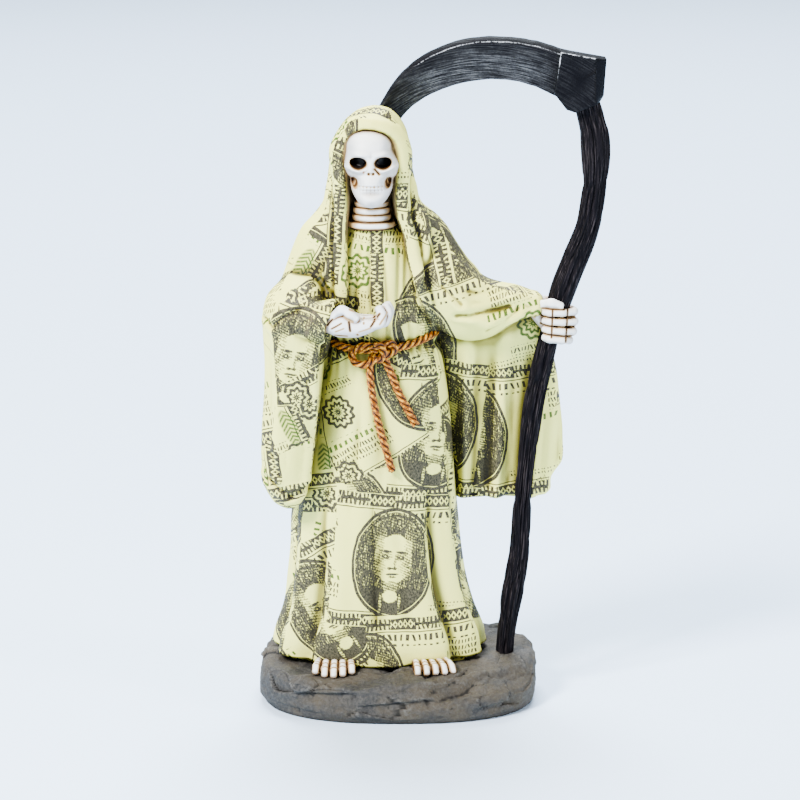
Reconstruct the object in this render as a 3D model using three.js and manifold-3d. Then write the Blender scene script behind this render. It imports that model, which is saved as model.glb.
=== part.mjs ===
// Robed skeleton statue with a scythe, on a rock base. Millimetres, +Z up, front toward -Y.
// Three cast pieces: the rock base, the robed figure and the scythe.
import * as THREE from 'three';
import { mergeVertices } from 'three/addons/utils/BufferGeometryUtils.js';
import { LoftGeometry } from 'three/addons/geometries/LoftGeometry.js';
import Module from 'manifold-3d';

const wasm = await Module();
wasm.setup();

// Overall sizes
const baseHalfWidth = 49;
const baseHalfDepth = 36;
const baseTopMiddle = 14.8; // height of the rock's top at its middle
const baseTopSlope = 0.09; // rise of the rock's top for each millimetre toward the back
const clearance = 0.3; // gap between two neighbouring pieces
const socketDepth = 5; // depth of the hole that holds the foot of the scythe
const ropeRadius = 1.35;

// Tunic and skirt, bottom to top: height, left x, right x, front y, back y
const tunicRows = [
  [22, -43.2, 29.5, -19.6, 25.6],
  [34, -39.6, 25.4, -18.6, 24],
  [43, -38.6, 23, -18.2, 23.4],
  [54, -37.6, 21.4, -17.9, 22.8],
  [66, -37.4, 20.4, -17.7, 22.2],
  [80, -35.5, 19.6, -17.5, 21.6],
  [100, -31.4, 18.4, -17.2, 20.8],
  [116, -28.6, 16.4, -16.6, 19.6],
  [124, -26.6, 14.8, -15.8, 18.6],
  [129.5, -25.8, 13.8, -15, 17.8],
  [142, -27.2, 13.8, -15.3, 17.6],
  [153, -27.4, 12.4, -14.8, 17],
  [160, -26, 9.6, -14, 16],
  [166, -21.6, 4.6, -13.2, 14],
  [170.5, -17.6, 0, -12, 8],
];

// Mantle and hood, bottom to top, in the same columns
const mantleRows = [
  [104, -27, 12, -2, 20],
  [114, -31, 12.4, -8, 19.4],
  [127.5, -38, 12.6, -13.6, 18.6],
  [140, -44, 18.4, -18.8, 18.6],
  [146, -43.2, 24, -18.8, 18.8],
  [152.1, -40.3, 28.4, -18.2, 18.8],
  [158.4, -38.1, 23.8, -17, 18.8],
  [164.8, -35.6, 19.6, -16, 18.4],
  [169, -33.4, 17.2, -15.6, 18.2],
  [173.2, -29.6, 13.4, -15.4, 17.8],
  [177.4, -26.5, 8.2, -15.4, 17.4],
  [184, -24.9, 6.2, -16, 17.1],
  [194.2, -23.6, 4.4, -16.8, 16.4],
  [199, -22.4, 3.7, -16.7, 15.4],
  [203, -20.7, 2.9, -15.8, 14],
  [206, -18.6, 1.4, -14, 12],
  [208.6, -16.2, -0.8, -11.4, 9.4],
  [210.4, -12.8, -3.4, -7.6, 6],
  [211.3, -9.4, -6.6, -3, 1.6],
];

// Left bag sleeve, bottom to top, in the same columns
const bagSleeveRows = [
  [72.6, -39.4, -36.4, -17.4, -13],
  [74, -42.4, -34.4, -18.4, -10],
  [77, -45, -32.4, -19.6, -5],
  [82, -47, -30.4, -20.8, -0.5],
  [88, -47.3, -29.4, -22, 3],
  [99, -47.2, -27.9, -24, 6],
  [112, -46.1, -26.9, -25.8, 8],
  [125, -45.8, -25.9, -27, 9],
  [142, -46.4, -24.6, -27.2, 9.6],
  [147, -44.8, -24.2, -25, 9.4],
  [150.4, -41.4, -25.6, -20.4, 8.8],
  [154, -38, -28, -14, 7],
];

// Right hanging sleeve, bottom to top, in the same columns
const hangingRows = [
  [71.2, 21, 52, 4.6, 8.6],
  [72.4, 20, 53.2, 3.6, 9.8],
  [78, 19.4, 54.4, 3.2, 10.6],
  [83, 19, 57.6, 3, 11],
  [92, 18.4, 58.2, 3, 11.4],
  [106, 17, 57, 2.8, 11.8],
  [120, 15.4, 55, 1.8, 12],
  [127, 14, 53, 0.4, 12],
  [133, 13, 50, -2, 11],
];

// Right upper arm, from the shoulder to the wrist: x, bottom z, top z, front y, back y
const armRows = [
  [6, 136, 164, -13, 14],
  [13, 129.6, 165, -15, 14],
  [18, 122.4, 162, -15, 13.6],
  [22, 118.6, 158.6, -14.4, 13.2],
  [27, 118, 154.2, -13.4, 12.6],
  [32, 120.6, 150.6, -12.4, 12],
  [38, 124, 148.8, -11, 11],
  [43, 127, 147.6, -9.6, 9.6],
  [48, 131.4, 145.6, -7.6, 7.4],
  [50.2, 134.6, 143.8, -5.6, 5.2],
];

// Face and chest opening of the mantle seen from the front: x, z
const openingOutline = [
  [-17.6, 122], [-17.2, 146], [-17.9, 160], [-18.4, 170], [-18.6, 184], [-18.6, 192],
  [-18, 197.4], [-16.4, 201.6], [-13.6, 204.6], [-10.6, 205.6], [-7.4, 204.8],
  [-4, 202.2], [-1.8, 198.4], [-0.4, 193], [-0.8, 184], [0, 175],
  [2.2, 168], [3.6, 159], [6.2, 150], [8.6, 144], [11.4, 138], [11.9, 122],
];

// Rolled edge of the hood: x, y, z
const hoodEdge = [
  [-19.6, -14.4, 152], [-20.4, -14.2, 168], [-20.6, -14.4, 182], [-20.4, -15, 192],
  [-18.8, -15.2, 199.6], [-15.4, -14.6, 204.6], [-10.8, -13.8, 206.8], [-6, -14.4, 205.4],
  [-1.6, -15.2, 200.4], [1.2, -15, 193], [1.6, -14.2, 182], [3.2, -14, 172], [7, -14.6, 158],
  [11, -15.6, 147],
];

// Skull, chin to crown: height, middle x, half width, front y, back y
const skullRows = [
  [178.2, -9.2, 2.4, -18.6, -13],
  [179.4, -9.2, 4, -19.6, -11],
  [181.2, -9.2, 5.4, -20, -8],
  [183, -9.2, 6.7, -20, -5],
  [185, -9.3, 7.4, -20, -1],
  [187.6, -9.3, 7.6, -19.6, 1],
  [189.2, -9.4, 8, -19.8, 2],
  [190.8, -9.5, 9, -19.4, 2],
  [193.4, -9.5, 9.5, -18.8, 2.4],
  [195.6, -9.9, 8.7, -19.6, 2.4],
  [197.4, -10.1, 7.9, -19.6, 2.4],
  [200, -10.1, 7.5, -18.8, 2],
  [202.4, -10.1, 6.4, -17.2, 0.6],
  [204, -10.1, 4.8, -15, -1.6],
  [204.9, -10.1, 2, -12, -5],
];
const eyeSockets = [[-14.1, 193.3], [-5.3, 193.3]];
const eyeSocketHalf = [2.75, 3.4, 1.85];
const cheekHollows = [[-15.8, 186.7], [-2.8, 186.7]];
const cheekHollowHalf = [1.3, 2.6, 1.7];

// Neck rings, bottom to top: height, half width, half depth
const neckRings = [
  [171.9, 8.2, 7.4],
  [174.4, 6.5, 6.4],
  [176.9, 6.3, 6.2],
  [179.3, 5.6, 5.6],
];
const neckMiddle = [-9.3, -6.6];

// Folds of the skirt: angle in degrees from the front toward +X, half width in degrees,
// height where the fold fades out, and rise at the hem in millimetres
const skirtFolds = [
  [47, 7, 66, -3],
  [27, 14, 120, 1.3],
  [3, 9, 118, -1],
  [-25, 13, 90, 1.3],
  [-42, 7, 84, -1.9],
  [-66, 10, 80, 1.2],
  [70, 9, 60, 1.2],
];
const backFoldCount = 13;
const backFoldRise = 1.2;

// Scythe handle, foot to head: height, x, half width
const handleRows = [
  [13.2, 37.6, 3.2],
  [26.5, 38.9, 3.4],
  [40, 40.8, 4],
  [54, 42.7, 3.7],
  [71, 43.7, 3.4],
  [87.5, 45.2, 3.5],
  [104, 47.2, 3.9],
  [124, 51, 3.9],
  [137, 54.4, 4.2],
  [148.4, 57.7, 4.7],
  [161, 62.4, 5],
  [169.5, 65.4, 4.6],
  [178, 67, 4.3],
  [186.3, 67.9, 4.4],
  [195, 68, 5.1],
  [203, 67.2, 5.2],
  [209, 65.6, 5],
  [218, 63.6, 4.8],
];
const handleMiddleY = -1;
const handleHalfDepth = 4;

// Scythe blade, head to tip: upper edge x and z, lower edge x and z, middle y
const bladeRows = [
  [60, 230, 59, 212.4, -1],
  [55.4, 231, 54, 214.6, -1],
  [47, 233.6, 45.5, 218.4, -0.6],
  [35, 235, 35.5, 220.3, 0],
  [24, 234.3, 26.5, 219.8, 1.2],
  [14, 231, 19, 217.9, 3],
  [5.5, 226, 12.5, 215.2, 5],
  [-0.5, 219.9, 7.3, 211.9, 7.6],
  [-5, 212.9, 3.2, 208.2, 11],
  [-8.6, 205.4, -0.6, 203, 15.6],
  [-11, 199.4, -6.6, 197.6, 18.4],
  [-11.8, 194.4, -10.6, 194, 19.6],
];
// Cross-section of the blade: share of the width from the lower edge, offset in y
const bladeProfile = [[0, -0.6], [0.7, -2.5], [1, -1], [1, 1.4], [0.72, 2.3], [0, 0.6]];

// Head block that joins the handle and the blade: outline x, z
const headOutline = [
  [57.4, 210.6], [60.4, 209.6], [68.8, 212.8], [70.2, 215.2], [71, 227.6], [55.2, 230.4],
  [53.2, 216],
];
const headHalfDepth = 6;

// Belt from the left end round the front to the right end: x, z
const beltPoints = [
  [-25.2, 130.4], [-22.6, 129.8], [-18.5, 129], [-13.3, 128.7], [-7, 128.8], [0.5, 129.7],
  [5.7, 130.8], [10.6, 132.2], [13, 132.8],
];
const beltEnds = [
  [[-8.6, 128.6], [-9.8, 124], [-9.5, 116.7], [-7.1, 104.3], [-4.7, 95.4], [-2.3, 86.6]],
  [[-5.6, 128.4], [-2.9, 122], [-0.2, 115], [3.4, 107.6], [5.8, 102.6]],
];
const beltLoop = [
  [-8, 128.6], [-11.2, 129.2], [-14.3, 128.2], [-16.8, 126], [-15.8, 123.6], [-12.4, 123.6],
  [-8.4, 127.2],
];

// Turn a closed three.js mesh into a solid
function solidOf(geometry) {
  const bare = new THREE.BufferGeometry();
  bare.setAttribute('position', geometry.getAttribute('position'));
  bare.setIndex(geometry.getIndex());
  const merged = mergeVertices(bare, 1e-4);
  const mesh = new wasm.Mesh({
    numProp: 3,
    vertProperties: new Float32Array(merged.attributes.position.array),
    triVerts: new Uint32Array(merged.index.array),
  });
  return new wasm.Manifold(mesh);
}

// Turn a solid back into a three.js mesh with flat faces
function meshOf(solid, name, material) {
  const data = solid.getMesh();
  const geometry = new THREE.BufferGeometry();
  geometry.setAttribute('position', new THREE.BufferAttribute(new Float32Array(data.vertProperties), 3));
  geometry.setIndex(new THREE.BufferAttribute(new Uint32Array(data.triVerts), 1));
  geometry.computeVertexNormals();
  const mesh = new THREE.Mesh(geometry, material);
  mesh.name = name;
  return mesh;
}

// Join a list of solids into one
function join(solids) {
  return solids.reduce((whole, solid) => whole.add(solid));
}

// Loft through closed rings, with flat ends
function loft(rings) {
  return solidOf(new LoftGeometry(rings, { closed: true, capStart: true, capEnd: true }));
}

// Zero below the first value, one above the second, and smooth between them
function ease(low, high, value) {
  return THREE.MathUtils.smoothstep(value, low, high);
}

// Sine and cosine raised toward a squarer outline: power 2 is an ellipse, more is squarer
function squared(value, power) {
  return Math.sign(value) * Math.abs(value) ** (2 / power);
}

// No offset and no lift
const still = () => ({ out: 0, lift: 0 });

// Horizontal ring between a left, right, front and back limit. The angle starts at the
// front and grows toward +X. The shape function returns an outward offset and a lift.
function levelRing(row, count, power, shape) {
  const [z, left, right, front, back] = row;
  const points = [];
  for (let i = 0; i < count; i += 1) {
    const angle = (i / count) * 2 * Math.PI;
    const side = squared(Math.sin(angle), power);
    const depth = -squared(Math.cos(angle), power);
    const extra = shape(angle, z);
    const x = (left + right) / 2 + side * ((right - left) / 2 + extra.out);
    const y = (front + back) / 2 + depth * ((back - front) / 2 + extra.out);
    points.push(new THREE.Vector3(x, y, z + extra.lift));
  }
  return points;
}

// Upright ring at a fixed x, counterclockwise seen from +X
function crossRing(row, count, power) {
  const [x, bottom, top, front, back] = row;
  const points = [];
  for (let i = 0; i < count; i += 1) {
    const angle = (i / count) * 2 * Math.PI;
    const y = (front + back) / 2 + squared(Math.cos(angle), power) * ((back - front) / 2);
    const z = (bottom + top) / 2 + squared(Math.sin(angle), power) * ((top - bottom) / 2);
    points.push(new THREE.Vector3(x, y, z));
  }
  return points;
}

// Finger or toe through a list of joints: thick at each joint and slimmer between them
function digit(joints, radius) {
  const sides = 5;
  const points = joints.map((joint) => new THREE.Vector3(...joint));
  const stations = [];
  points.forEach((point, index) => {
    const before = points[Math.max(0, index - 1)];
    const after = points[Math.min(points.length - 1, index + 1)];
    const direction = after.clone().sub(before).normalize();
    if (index === points.length - 1) {
      const shoulder = point.clone().addScaledVector(direction, -0.7 * radius);
      const tip = point.clone().addScaledVector(direction, 0.4 * radius);
      stations.push({ middle: shoulder, direction, swell: 1 });
      stations.push({ middle: tip, direction, swell: 0.62 });
    } else {
      const toNext = after.clone().sub(point).normalize();
      stations.push({ middle: point, direction, swell: 1 });
      stations.push({ middle: point.clone().lerp(after, 0.45), direction: toNext, swell: 0.84 });
    }
  });
  const rings = stations.map(({ middle, direction, swell }) => {
    const helper = new THREE.Vector3(1, 1, 1);
    const u = helper.cross(direction).normalize();
    const v = direction.clone().cross(u);
    const ringPoints = [];
    for (let i = 0; i < sides; i += 1) {
      const angle = (i / sides) * 2 * Math.PI;
      ringPoints.push(
        middle.clone()
          .addScaledVector(u, Math.cos(angle) * radius * swell)
          .addScaledVector(v, Math.sin(angle) * radius * swell),
      );
    }
    return ringPoints;
  });
  return loft(rings);
}

// Round bar along a smooth path
function roundBar(points, radius, steps) {
  const path = new THREE.CatmullRomCurve3(points.map((point) => new THREE.Vector3(...point)));
  const outline = new THREE.Shape();
  outline.absarc(0, 0, radius, 0, 2 * Math.PI, false);
  const options = { steps, extrudePath: path, bevelEnabled: false, curveSegments: 3 };
  return solidOf(new THREE.ExtrudeGeometry(outline, options));
}

// Ellipsoid with its half sizes in x, y and z
function ellipsoid(middle, half, columns = 16, rows = 10) {
  const ball = new THREE.SphereGeometry(1, columns, rows);
  ball.scale(half[0], half[1], half[2]);
  ball.translate(middle[0], middle[1], middle[2]);
  return solidOf(ball);
}

// Prism with an outline in x and z, between two depths y
function prism(outline, front, back) {
  const shape = new THREE.Shape(outline.map(([x, z]) => new THREE.Vector2(x, z)));
  const block = new THREE.ExtrudeGeometry(shape, { depth: back - front, bevelEnabled: false });
  block.rotateX(Math.PI / 2);
  block.translate(0, back, 0);
  return solidOf(block);
}

// Offset of the skirt's folds: named folds at the front and even long folds at the back
function skirtFoldOffset(angle, z) {
  let offset = 0;
  for (const [degrees, halfWidth, fadeHeight, rise] of skirtFolds) {
    const turn = Math.atan2(Math.sin(angle - THREE.MathUtils.degToRad(degrees)),
      Math.cos(angle - THREE.MathUtils.degToRad(degrees)));
    const share = THREE.MathUtils.radToDeg(turn) / halfWidth;
    offset += rise * Math.exp(-share * share) * (1 - ease(18, fadeHeight, z));
  }
  const back = ease(0.15, 0.6, -Math.cos(angle));
  return offset + backFoldRise * back * Math.cos(backFoldCount * angle) * (1 - ease(70, 150, z));
}

// Height of the hem: low at the front, higher at the sides and the back
function hemHeight(angle) {
  return 15 + 2.6 * (1 - Math.cos(angle)) * 0.5 + 1.6 * Math.sin(angle) ** 2;
}

function tunicSolid() {
  const shape = (angle, z) => ({ out: skirtFoldOffset(angle, z), lift: 0 });
  const hem = [18, -44, 30, -19.6, 26];
  const rings = [
    levelRing([8, -38, 24, -15, 20], 28, 2, still),
    levelRing([0, -39.6, 25.6, -16, 21.6], 28, 2, (angle) => ({ out: 0, lift: hemHeight(angle) - 1.2 })),
    levelRing(hem, 28, 2.1, (angle) => ({ out: skirtFoldOffset(angle, 18), lift: hemHeight(angle) - 18 })),
  ];
  for (const row of tunicRows) {
    rings.push(levelRing(row, 28, 2.1, shape));
  }
  return loft(rings);
}

function mantleSolid() {
  const shape = (angle, z) => ({
    out: 0.7 * Math.cos(backFoldCount * angle) * ease(0, 0.6, -Math.cos(angle)) * (1 - ease(150, 186, z)),
    lift: 0,
  });
  const outer = loft(mantleRows.map((row) => levelRing(row, 26, 2, shape)));
  const chest = prism(openingOutline, -40, -7);
  const face = prism(openingOutline.filter(([, z]) => z > 165), -40, 5);
  const edge = roundBar(hoodEdge, 2, 16);
  return outer.subtract(chest).subtract(face).add(edge);
}

function sleeveSolid() {
  const bag = loft(bagSleeveRows.map((row) => levelRing(row, 16, 2.8, still)));
  const arm = loft(armRows.map((row) => crossRing(row, 14, 2.1)));
  const hanging = loft(hangingRows.map((row) => {
    const points = levelRing(row, 26, 3.4, still);
    const growth = 1 - ease(90, 132, row[0]) * 0.7;
    points.forEach((point) => {
      point.y += 1.3 * growth * Math.sin((point.x - 12) * 0.52);
    });
    return points;
  }));
  return join([bag, arm, hanging]);
}

function skullSolid() {
  const rings = skullRows.map(([z, middle, half, front, back]) =>
    levelRing([z, middle - half, middle + half, front, back], 18, 2.3, still));
  let skull = loft(rings);
  for (const [x, z] of eyeSockets) {
    skull = skull.subtract(ellipsoid([x, -18.6, z], eyeSocketHalf, 10, 6));
  }
  for (const [x, z] of cheekHollows) {
    skull = skull.subtract(ellipsoid([x, -16.6, z], cheekHollowHalf, 8, 5));
  }
  const [neckX, neckY] = neckMiddle;
  const neckRow = (z, halfWidth, halfDepth) => levelRing([
    z, neckX - halfWidth, neckX + halfWidth, neckY - halfDepth, neckY + halfDepth,
  ], 12, 2, still);
  const rows = [];
  neckRings.forEach(([z, halfWidth, halfDepth]) => {
    rows.push(neckRow(z - 1.25, halfWidth - 0.8, halfDepth - 0.8));
    rows.push(neckRow(z - 0.4, halfWidth, halfDepth));
    rows.push(neckRow(z + 0.5, halfWidth, halfDepth));
  });
  return skull.add(loft(rows));
}

function cuppedHandSolid() {
  const rows = [
    [-29, 136.8, 143.4, -28, -20.4],
    [-24, 135.8, 145.4, -29.6, -19.4],
    [-18.6, 135.2, 147, -31, -18.4],
    [-13.6, 135.4, 144.8, -31.4, -18.2],
    [-9.4, 136.6, 143.4, -31.2, -18.4],
    [-6, 138.4, 142.8, -30.6, -19],
  ];
  const palm = loft(rows.map((row) => crossRing(row, 10, 2.4)));
  const fingers = [
    [[-11, -29.4, 139.2], [-6, -29.8, 141.2], [-6.8, -29, 146.6]],
    [[-10, -26.6, 138.8], [-4.4, -27, 141.4], [-4.8, -26.4, 146.8]],
    [[-10, -23.8, 138.8], [-4, -24, 141.8], [-4.1, -23.6, 146.8]],
    [[-10, -21, 139.6], [-4.8, -21.2, 142.4], [-4.4, -21, 146.2]],
    [[-23, -27.6, 141.6], [-18.6, -30.4, 145.6], [-14.4, -31, 142.4]],
  ];
  return join([palm, ...fingers.map((points) => digit(points, 1.75))]);
}

function fistSolid() {
  const palm = loft([
    [44, 134.6, 144, -5, 2.6],
    [49, 132.6, 144.6, -4.2, 5],
    [54, 130.4, 143.6, -2, 6.4],
    [59, 130.6, 141.6, -2.4, 5.6],
    [61.6, 132, 140.4, -1.6, 3.6],
  ].map((row) => crossRing(row, 10, 2.4)));
  const levels = [[140, 0.4], [137.1, 0.3], [134.2, 0], [131.3, -1.2]];
  const fingers = levels.map(([z, reach]) => digit([
    [60.2 + reach, 0.8, z], [60.2 + reach, -4.2, z], [55.2, -6.7, z - 0.1], [50.2, -6.2, z + 0.2],
  ], 1.6));
  const thumb = digit([[48.6, -3.6, 140.6], [50.6, -6, 143], [56.4, -6.8, 142.4]], 1.6);
  return join([palm, thumb, ...fingers]);
}

// Five toes of one foot, splayed about the foot's direction, rooted under the hem
function footSolid(middleX, turn, sizes) {
  const parts = [];
  sizes.forEach((size, index) => {
    const spread = (index - 2) * 3;
    const angle = turn + (index - 2) * 0.07;
    const rootX = middleX + spread * 0.86;
    const tipX = rootX + Math.sin(angle) * 6 + spread * 0.08;
    const tipY = -20.4 - size;
    parts.push(digit([[rootX, -14.4, 14.2], [tipX, tipY, 13.5]], 1.75));
  });
  return join(parts);
}

// Depth of the tunic's front surface at a place seen from the front
function tunicFront(x, z) {
  const upper = tunicRows.findIndex((row) => row[0] >= z);
  const high = tunicRows[upper];
  const low = tunicRows[upper - 1];
  const share = (z - low[0]) / (high[0] - low[0]);
  const [, left, right, front, back] = low.map((value, index) => value + (high[index] - value) * share);
  const across = (x - (left + right) / 2) / ((right - left) / 2);
  const room = Math.sqrt(Math.max(0, 1 - Math.min(1, across * across)));
  return (front + back) / 2 - room * ((back - front) / 2);
}

function beltSolid() {
  const onTunic = ([x, z], stand) => [x, tunicFront(x, z) - stand, z];
  const band = roundBar(beltPoints.map((point) => onTunic(point, 0.7)), ropeRadius, 13);
  const loop = roundBar(beltLoop.map((point) => onTunic(point, 1.9)), ropeRadius, 8);
  const ends = beltEnds.map((points) => roundBar(points.map((point) => onTunic(point, 1)), ropeRadius, 8));
  const knot = ellipsoid([-7.2, -17.2, 128.8], [3, 2.4, 2.7], 8, 5);
  return join([band, loop, knot, ...ends]);
}

// Height of the rock's top surface
function rockTop(x, y) {
  const ledge = 0.8 * Math.tanh((x * 0.5 - y * 0.9 - 34) * 0.5);
  const waves = 0.7 * Math.sin(x * 0.17 + 1) * Math.cos(y * 0.21) + 0.4 * Math.sin(x * 0.41 - y * 0.33);
  return baseTopMiddle + baseTopSlope * y + waves - ledge;
}

function baseSolid() {
  const count = 38;
  const rings = [];
  const sides = [[0, 0.985], [2.6, 0.998], [6.6, 1], [9.8, 0.99]];
  const outline = (angle, share, level) => {
    const rough = share + 0.012 * Math.sin(6 * angle + level) * Math.sin(2 * angle) ** 2;
    return [
      baseHalfWidth * rough * squared(Math.sin(angle), 2.45),
      -baseHalfDepth * rough * squared(Math.cos(angle), 2.45),
    ];
  };
  const place = (share, level, height) => {
    const points = [];
    for (let i = 0; i < count; i += 1) {
      const angle = (i / count) * 2 * Math.PI;
      const [x, y] = outline(angle, share, level);
      points.push(new THREE.Vector3(x, y, height(x, y)));
    }
    return points;
  };
  sides.forEach(([z, share], index) => {
    rings.push(place(share, index * 1.3, (x, y) => (index === 0 ? 0 : z + baseTopSlope * y * (z / 14))));
  });
  for (const share of [0.972, 0.93, 0.72, 0.46, 0.2, 0.03]) {
    const drop = share > 0.95 ? 1.5 : share > 0.9 ? 0.4 : 0;
    rings.push(place(share, 4, (x, y) => rockTop(x, y) - drop));
  }
  return loft(rings);
}

function handleSolid(grow) {
  const count = 10;
  const rows = [[13.2 - socketDepth + clearance - grow, 37.2, 3.2], ...handleRows];
  return loft(rows.map(([z, x, half], index) => {
    const points = [];
    for (let i = 0; i < count; i += 1) {
      const angle = (i / count) * 2 * Math.PI;
      const flat = 1 + 0.05 * Math.sin(3 * angle + index * 0.8);
      points.push(new THREE.Vector3(
        x + Math.sin(angle) * (half * flat + grow),
        handleMiddleY - Math.cos(angle) * (handleHalfDepth * (half / 4.3) * flat + grow),
        z,
      ));
    }
    return points;
  }));
}

function bladeSolid() {
  const rings = bladeRows.map(([upperX, upperZ, lowerX, lowerZ, middleY], index) => {
    const slim = index < 8 ? 1 : 1 - (index - 7) * 0.17;
    return bladeProfile.map(([share, offset]) => new THREE.Vector3(
      lowerX + (upperX - lowerX) * share,
      middleY + offset * slim,
      lowerZ + (upperZ - lowerZ) * share,
    ));
  });
  return loft(rings);
}

function headSolid() {
  const shape = new THREE.Shape(headOutline.map(([x, z]) => new THREE.Vector2(x, z)));
  const bevel = 1.1;
  const options = {
    depth: 2 * (headHalfDepth - bevel),
    bevelEnabled: true,
    bevelSize: bevel,
    bevelThickness: bevel,
    bevelOffset: -bevel,
    bevelSegments: 1,
  };
  const block = new THREE.ExtrudeGeometry(shape, options);
  block.rotateX(Math.PI / 2);
  block.translate(0, handleMiddleY + headHalfDepth - bevel, 0);
  return solidOf(block);
}

const rock = baseSolid();
const hood = mantleSolid();
const scythe = join([handleSolid(0), headSolid(), bladeSolid()])
  .subtract(hood.translate([0, 0.35, 0.3]))
  .subtract(hood.translate([0, 0, 0.35]));
const base = rock.subtract(handleSolid(clearance));
const figure = join([
  tunicSolid(), hood, sleeveSolid(), skullSolid(), cuppedHandSolid(), fistSolid(), beltSolid(),
  footSolid(-22.4, -0.06, [4.6, 5.6, 5.8, 5.2, 3.8]), footSolid(10.4, 0.5, [4.6, 4.8, 4.6, 4, 2.6]),
]).subtract(handleSolid(clearance)).subtract(rock.translate([0, 0, clearance]));

const clothPaint = new THREE.MeshStandardMaterial({ color: 0xd9dc9c, roughness: 0.45 });
clothPaint.name = 'printed robe paint';
const rockPaint = new THREE.MeshStandardMaterial({ color: 0x6f6e6c, roughness: 0.9 });
rockPaint.name = 'grey rock paint';
const bladePaint = new THREE.MeshStandardMaterial({ color: 0x1c1b20, roughness: 0.4 });
bladePaint.name = 'black scythe paint';

const group = new THREE.Group();
group.name = 'robed_skeleton_statue';
group.add(meshOf(base, 'rock_base', rockPaint));
group.add(meshOf(figure, 'robed_skeleton', clothPaint));
group.add(meshOf(scythe, 'scythe', bladePaint));

export default group;
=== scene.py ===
import bpy
import math
from functools import partialmethod
import numpy as np
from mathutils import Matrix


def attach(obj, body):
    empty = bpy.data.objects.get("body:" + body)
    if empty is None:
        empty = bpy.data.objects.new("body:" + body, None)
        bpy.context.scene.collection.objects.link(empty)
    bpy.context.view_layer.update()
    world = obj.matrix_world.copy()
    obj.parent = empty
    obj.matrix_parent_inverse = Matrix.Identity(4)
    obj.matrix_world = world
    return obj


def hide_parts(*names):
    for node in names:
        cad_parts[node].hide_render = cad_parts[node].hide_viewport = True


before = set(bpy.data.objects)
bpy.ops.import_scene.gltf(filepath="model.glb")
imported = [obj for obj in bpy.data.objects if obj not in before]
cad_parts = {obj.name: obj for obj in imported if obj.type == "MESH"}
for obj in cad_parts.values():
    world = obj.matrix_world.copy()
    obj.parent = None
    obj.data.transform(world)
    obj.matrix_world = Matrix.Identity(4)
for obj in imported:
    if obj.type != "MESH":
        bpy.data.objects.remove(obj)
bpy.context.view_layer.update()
mm = 0.001

# camera, floor, lights
view = {"target": (0.0005, 0.0, 0.1075), "distance": 1.1, "elevation": 13.0, "lens": 141.1}


def makeCamera():
    # stands at target + distance * (0, -cos e, sin e) and looks back along that line
    e = math.radians(view["elevation"])
    camera = bpy.data.objects.new("camera", bpy.data.cameras.new("camera"))
    camera.data.lens = view["lens"]
    camera.data.sensor_width = 36
    camera.data.clip_start = 0.05
    camera.data.clip_end = 20
    x, y, z = view["target"]
    camera.location = (x, y - view["distance"] * math.cos(e), z + view["distance"] * math.sin(e))
    camera.rotation_euler = (math.pi / 2 - e, 0, 0)
    bpy.context.scene.collection.objects.link(camera)
    bpy.context.scene.camera = camera


makeCamera()
print("camera done")


# Numpy tools shared by the pieces. Lengths in the tables are millimetres.
def ease(low, high, x):
    # 0 below low, 1 above high, 3t^2 - 2t^3 between
    t = np.clip((x - low) / (high - low), 0, 1)
    return t * t * (3 - 2 * t)


def bump(x, centre, width):
    # bell exp(-((x - centre) / width)^2)
    return np.exp(-((x - centre) / width) ** 2)


def turnFrom(angle, centre):
    # difference of two angles in degrees, wrapped to -180..180
    return (angle - centre + 180) % 360 - 180


def squared(value, power):
    # sign(v) |v|^(2/power): 2 leaves an ellipse, more makes the outline squarer
    return np.sign(value) * np.abs(value) ** (2 / power)


def smoothRows(rows, at):
    # cubic Hermite curve through the table rows, first column is the parameter
    table = np.array(rows, float)
    x, y = table[:, 0], table[:, 1:]
    slope = np.gradient(y, x, axis=0)
    i = np.clip(np.searchsorted(x, at) - 1, 0, len(x) - 2)
    h = (x[i + 1] - x[i])[:, None]
    t = np.clip((at - x[i])[:, None] / h, 0, 1)
    return ((2 * t**3 - 3 * t**2 + 1) * y[i] + (t**3 - 2 * t**2 + t) * h * slope[i]
            + (-2 * t**3 + 3 * t**2) * y[i + 1] + (t**3 - t**2) * h * slope[i + 1])


def valueNoise(p, scale, seed=0):
    # smooth noise 0..1: random values on a lattice of the given cell size, eased between
    q = np.asarray(p, float) / scale + 100.5
    cell = np.floor(q).astype(np.int64)
    f = q - cell
    f = f * f * (3 - 2 * f)
    total = 0
    for dx in (0, 1):
        for dy in (0, 1):
            for dz in (0, 1):
                h = (cell[..., 0] + dx) * 374761393 + (cell[..., 1] + dy) * 668265263
                h = (h + (cell[..., 2] + dz) * 2147483647 + seed * 144665) & 0xFFFFFFFF
                h = ((h ^ (h >> 13)) * 1274126177) & 0xFFFFFFFF
                weight = (np.where(dx, f[..., 0], 1 - f[..., 0]) * np.where(dy, f[..., 1], 1 - f[..., 1])
                          * np.where(dz, f[..., 2], 1 - f[..., 2]))
                total = total + weight * ((h ^ (h >> 16)) & 0xFFFF) / 65535.0
    return total


def uneven(x, y, z, seed):
    # value noise less its mean, with cells of 1, at coordinates spread to one shape
    return valueNoise(np.stack(np.broadcast_arrays(x, y, z), -1), 1.0, seed) - 0.5


def stretch(x, z, start, end):
    # distance from the line between two points
    ex, ez = end[0] - start[0], end[1] - start[1]
    t = np.clip(((x - start[0]) * ex + (z - start[1]) * ez) / (ex * ex + ez * ez), 0, 1)
    return np.hypot(x - start[0] - t * ex, z - start[1] - t * ez)


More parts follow.
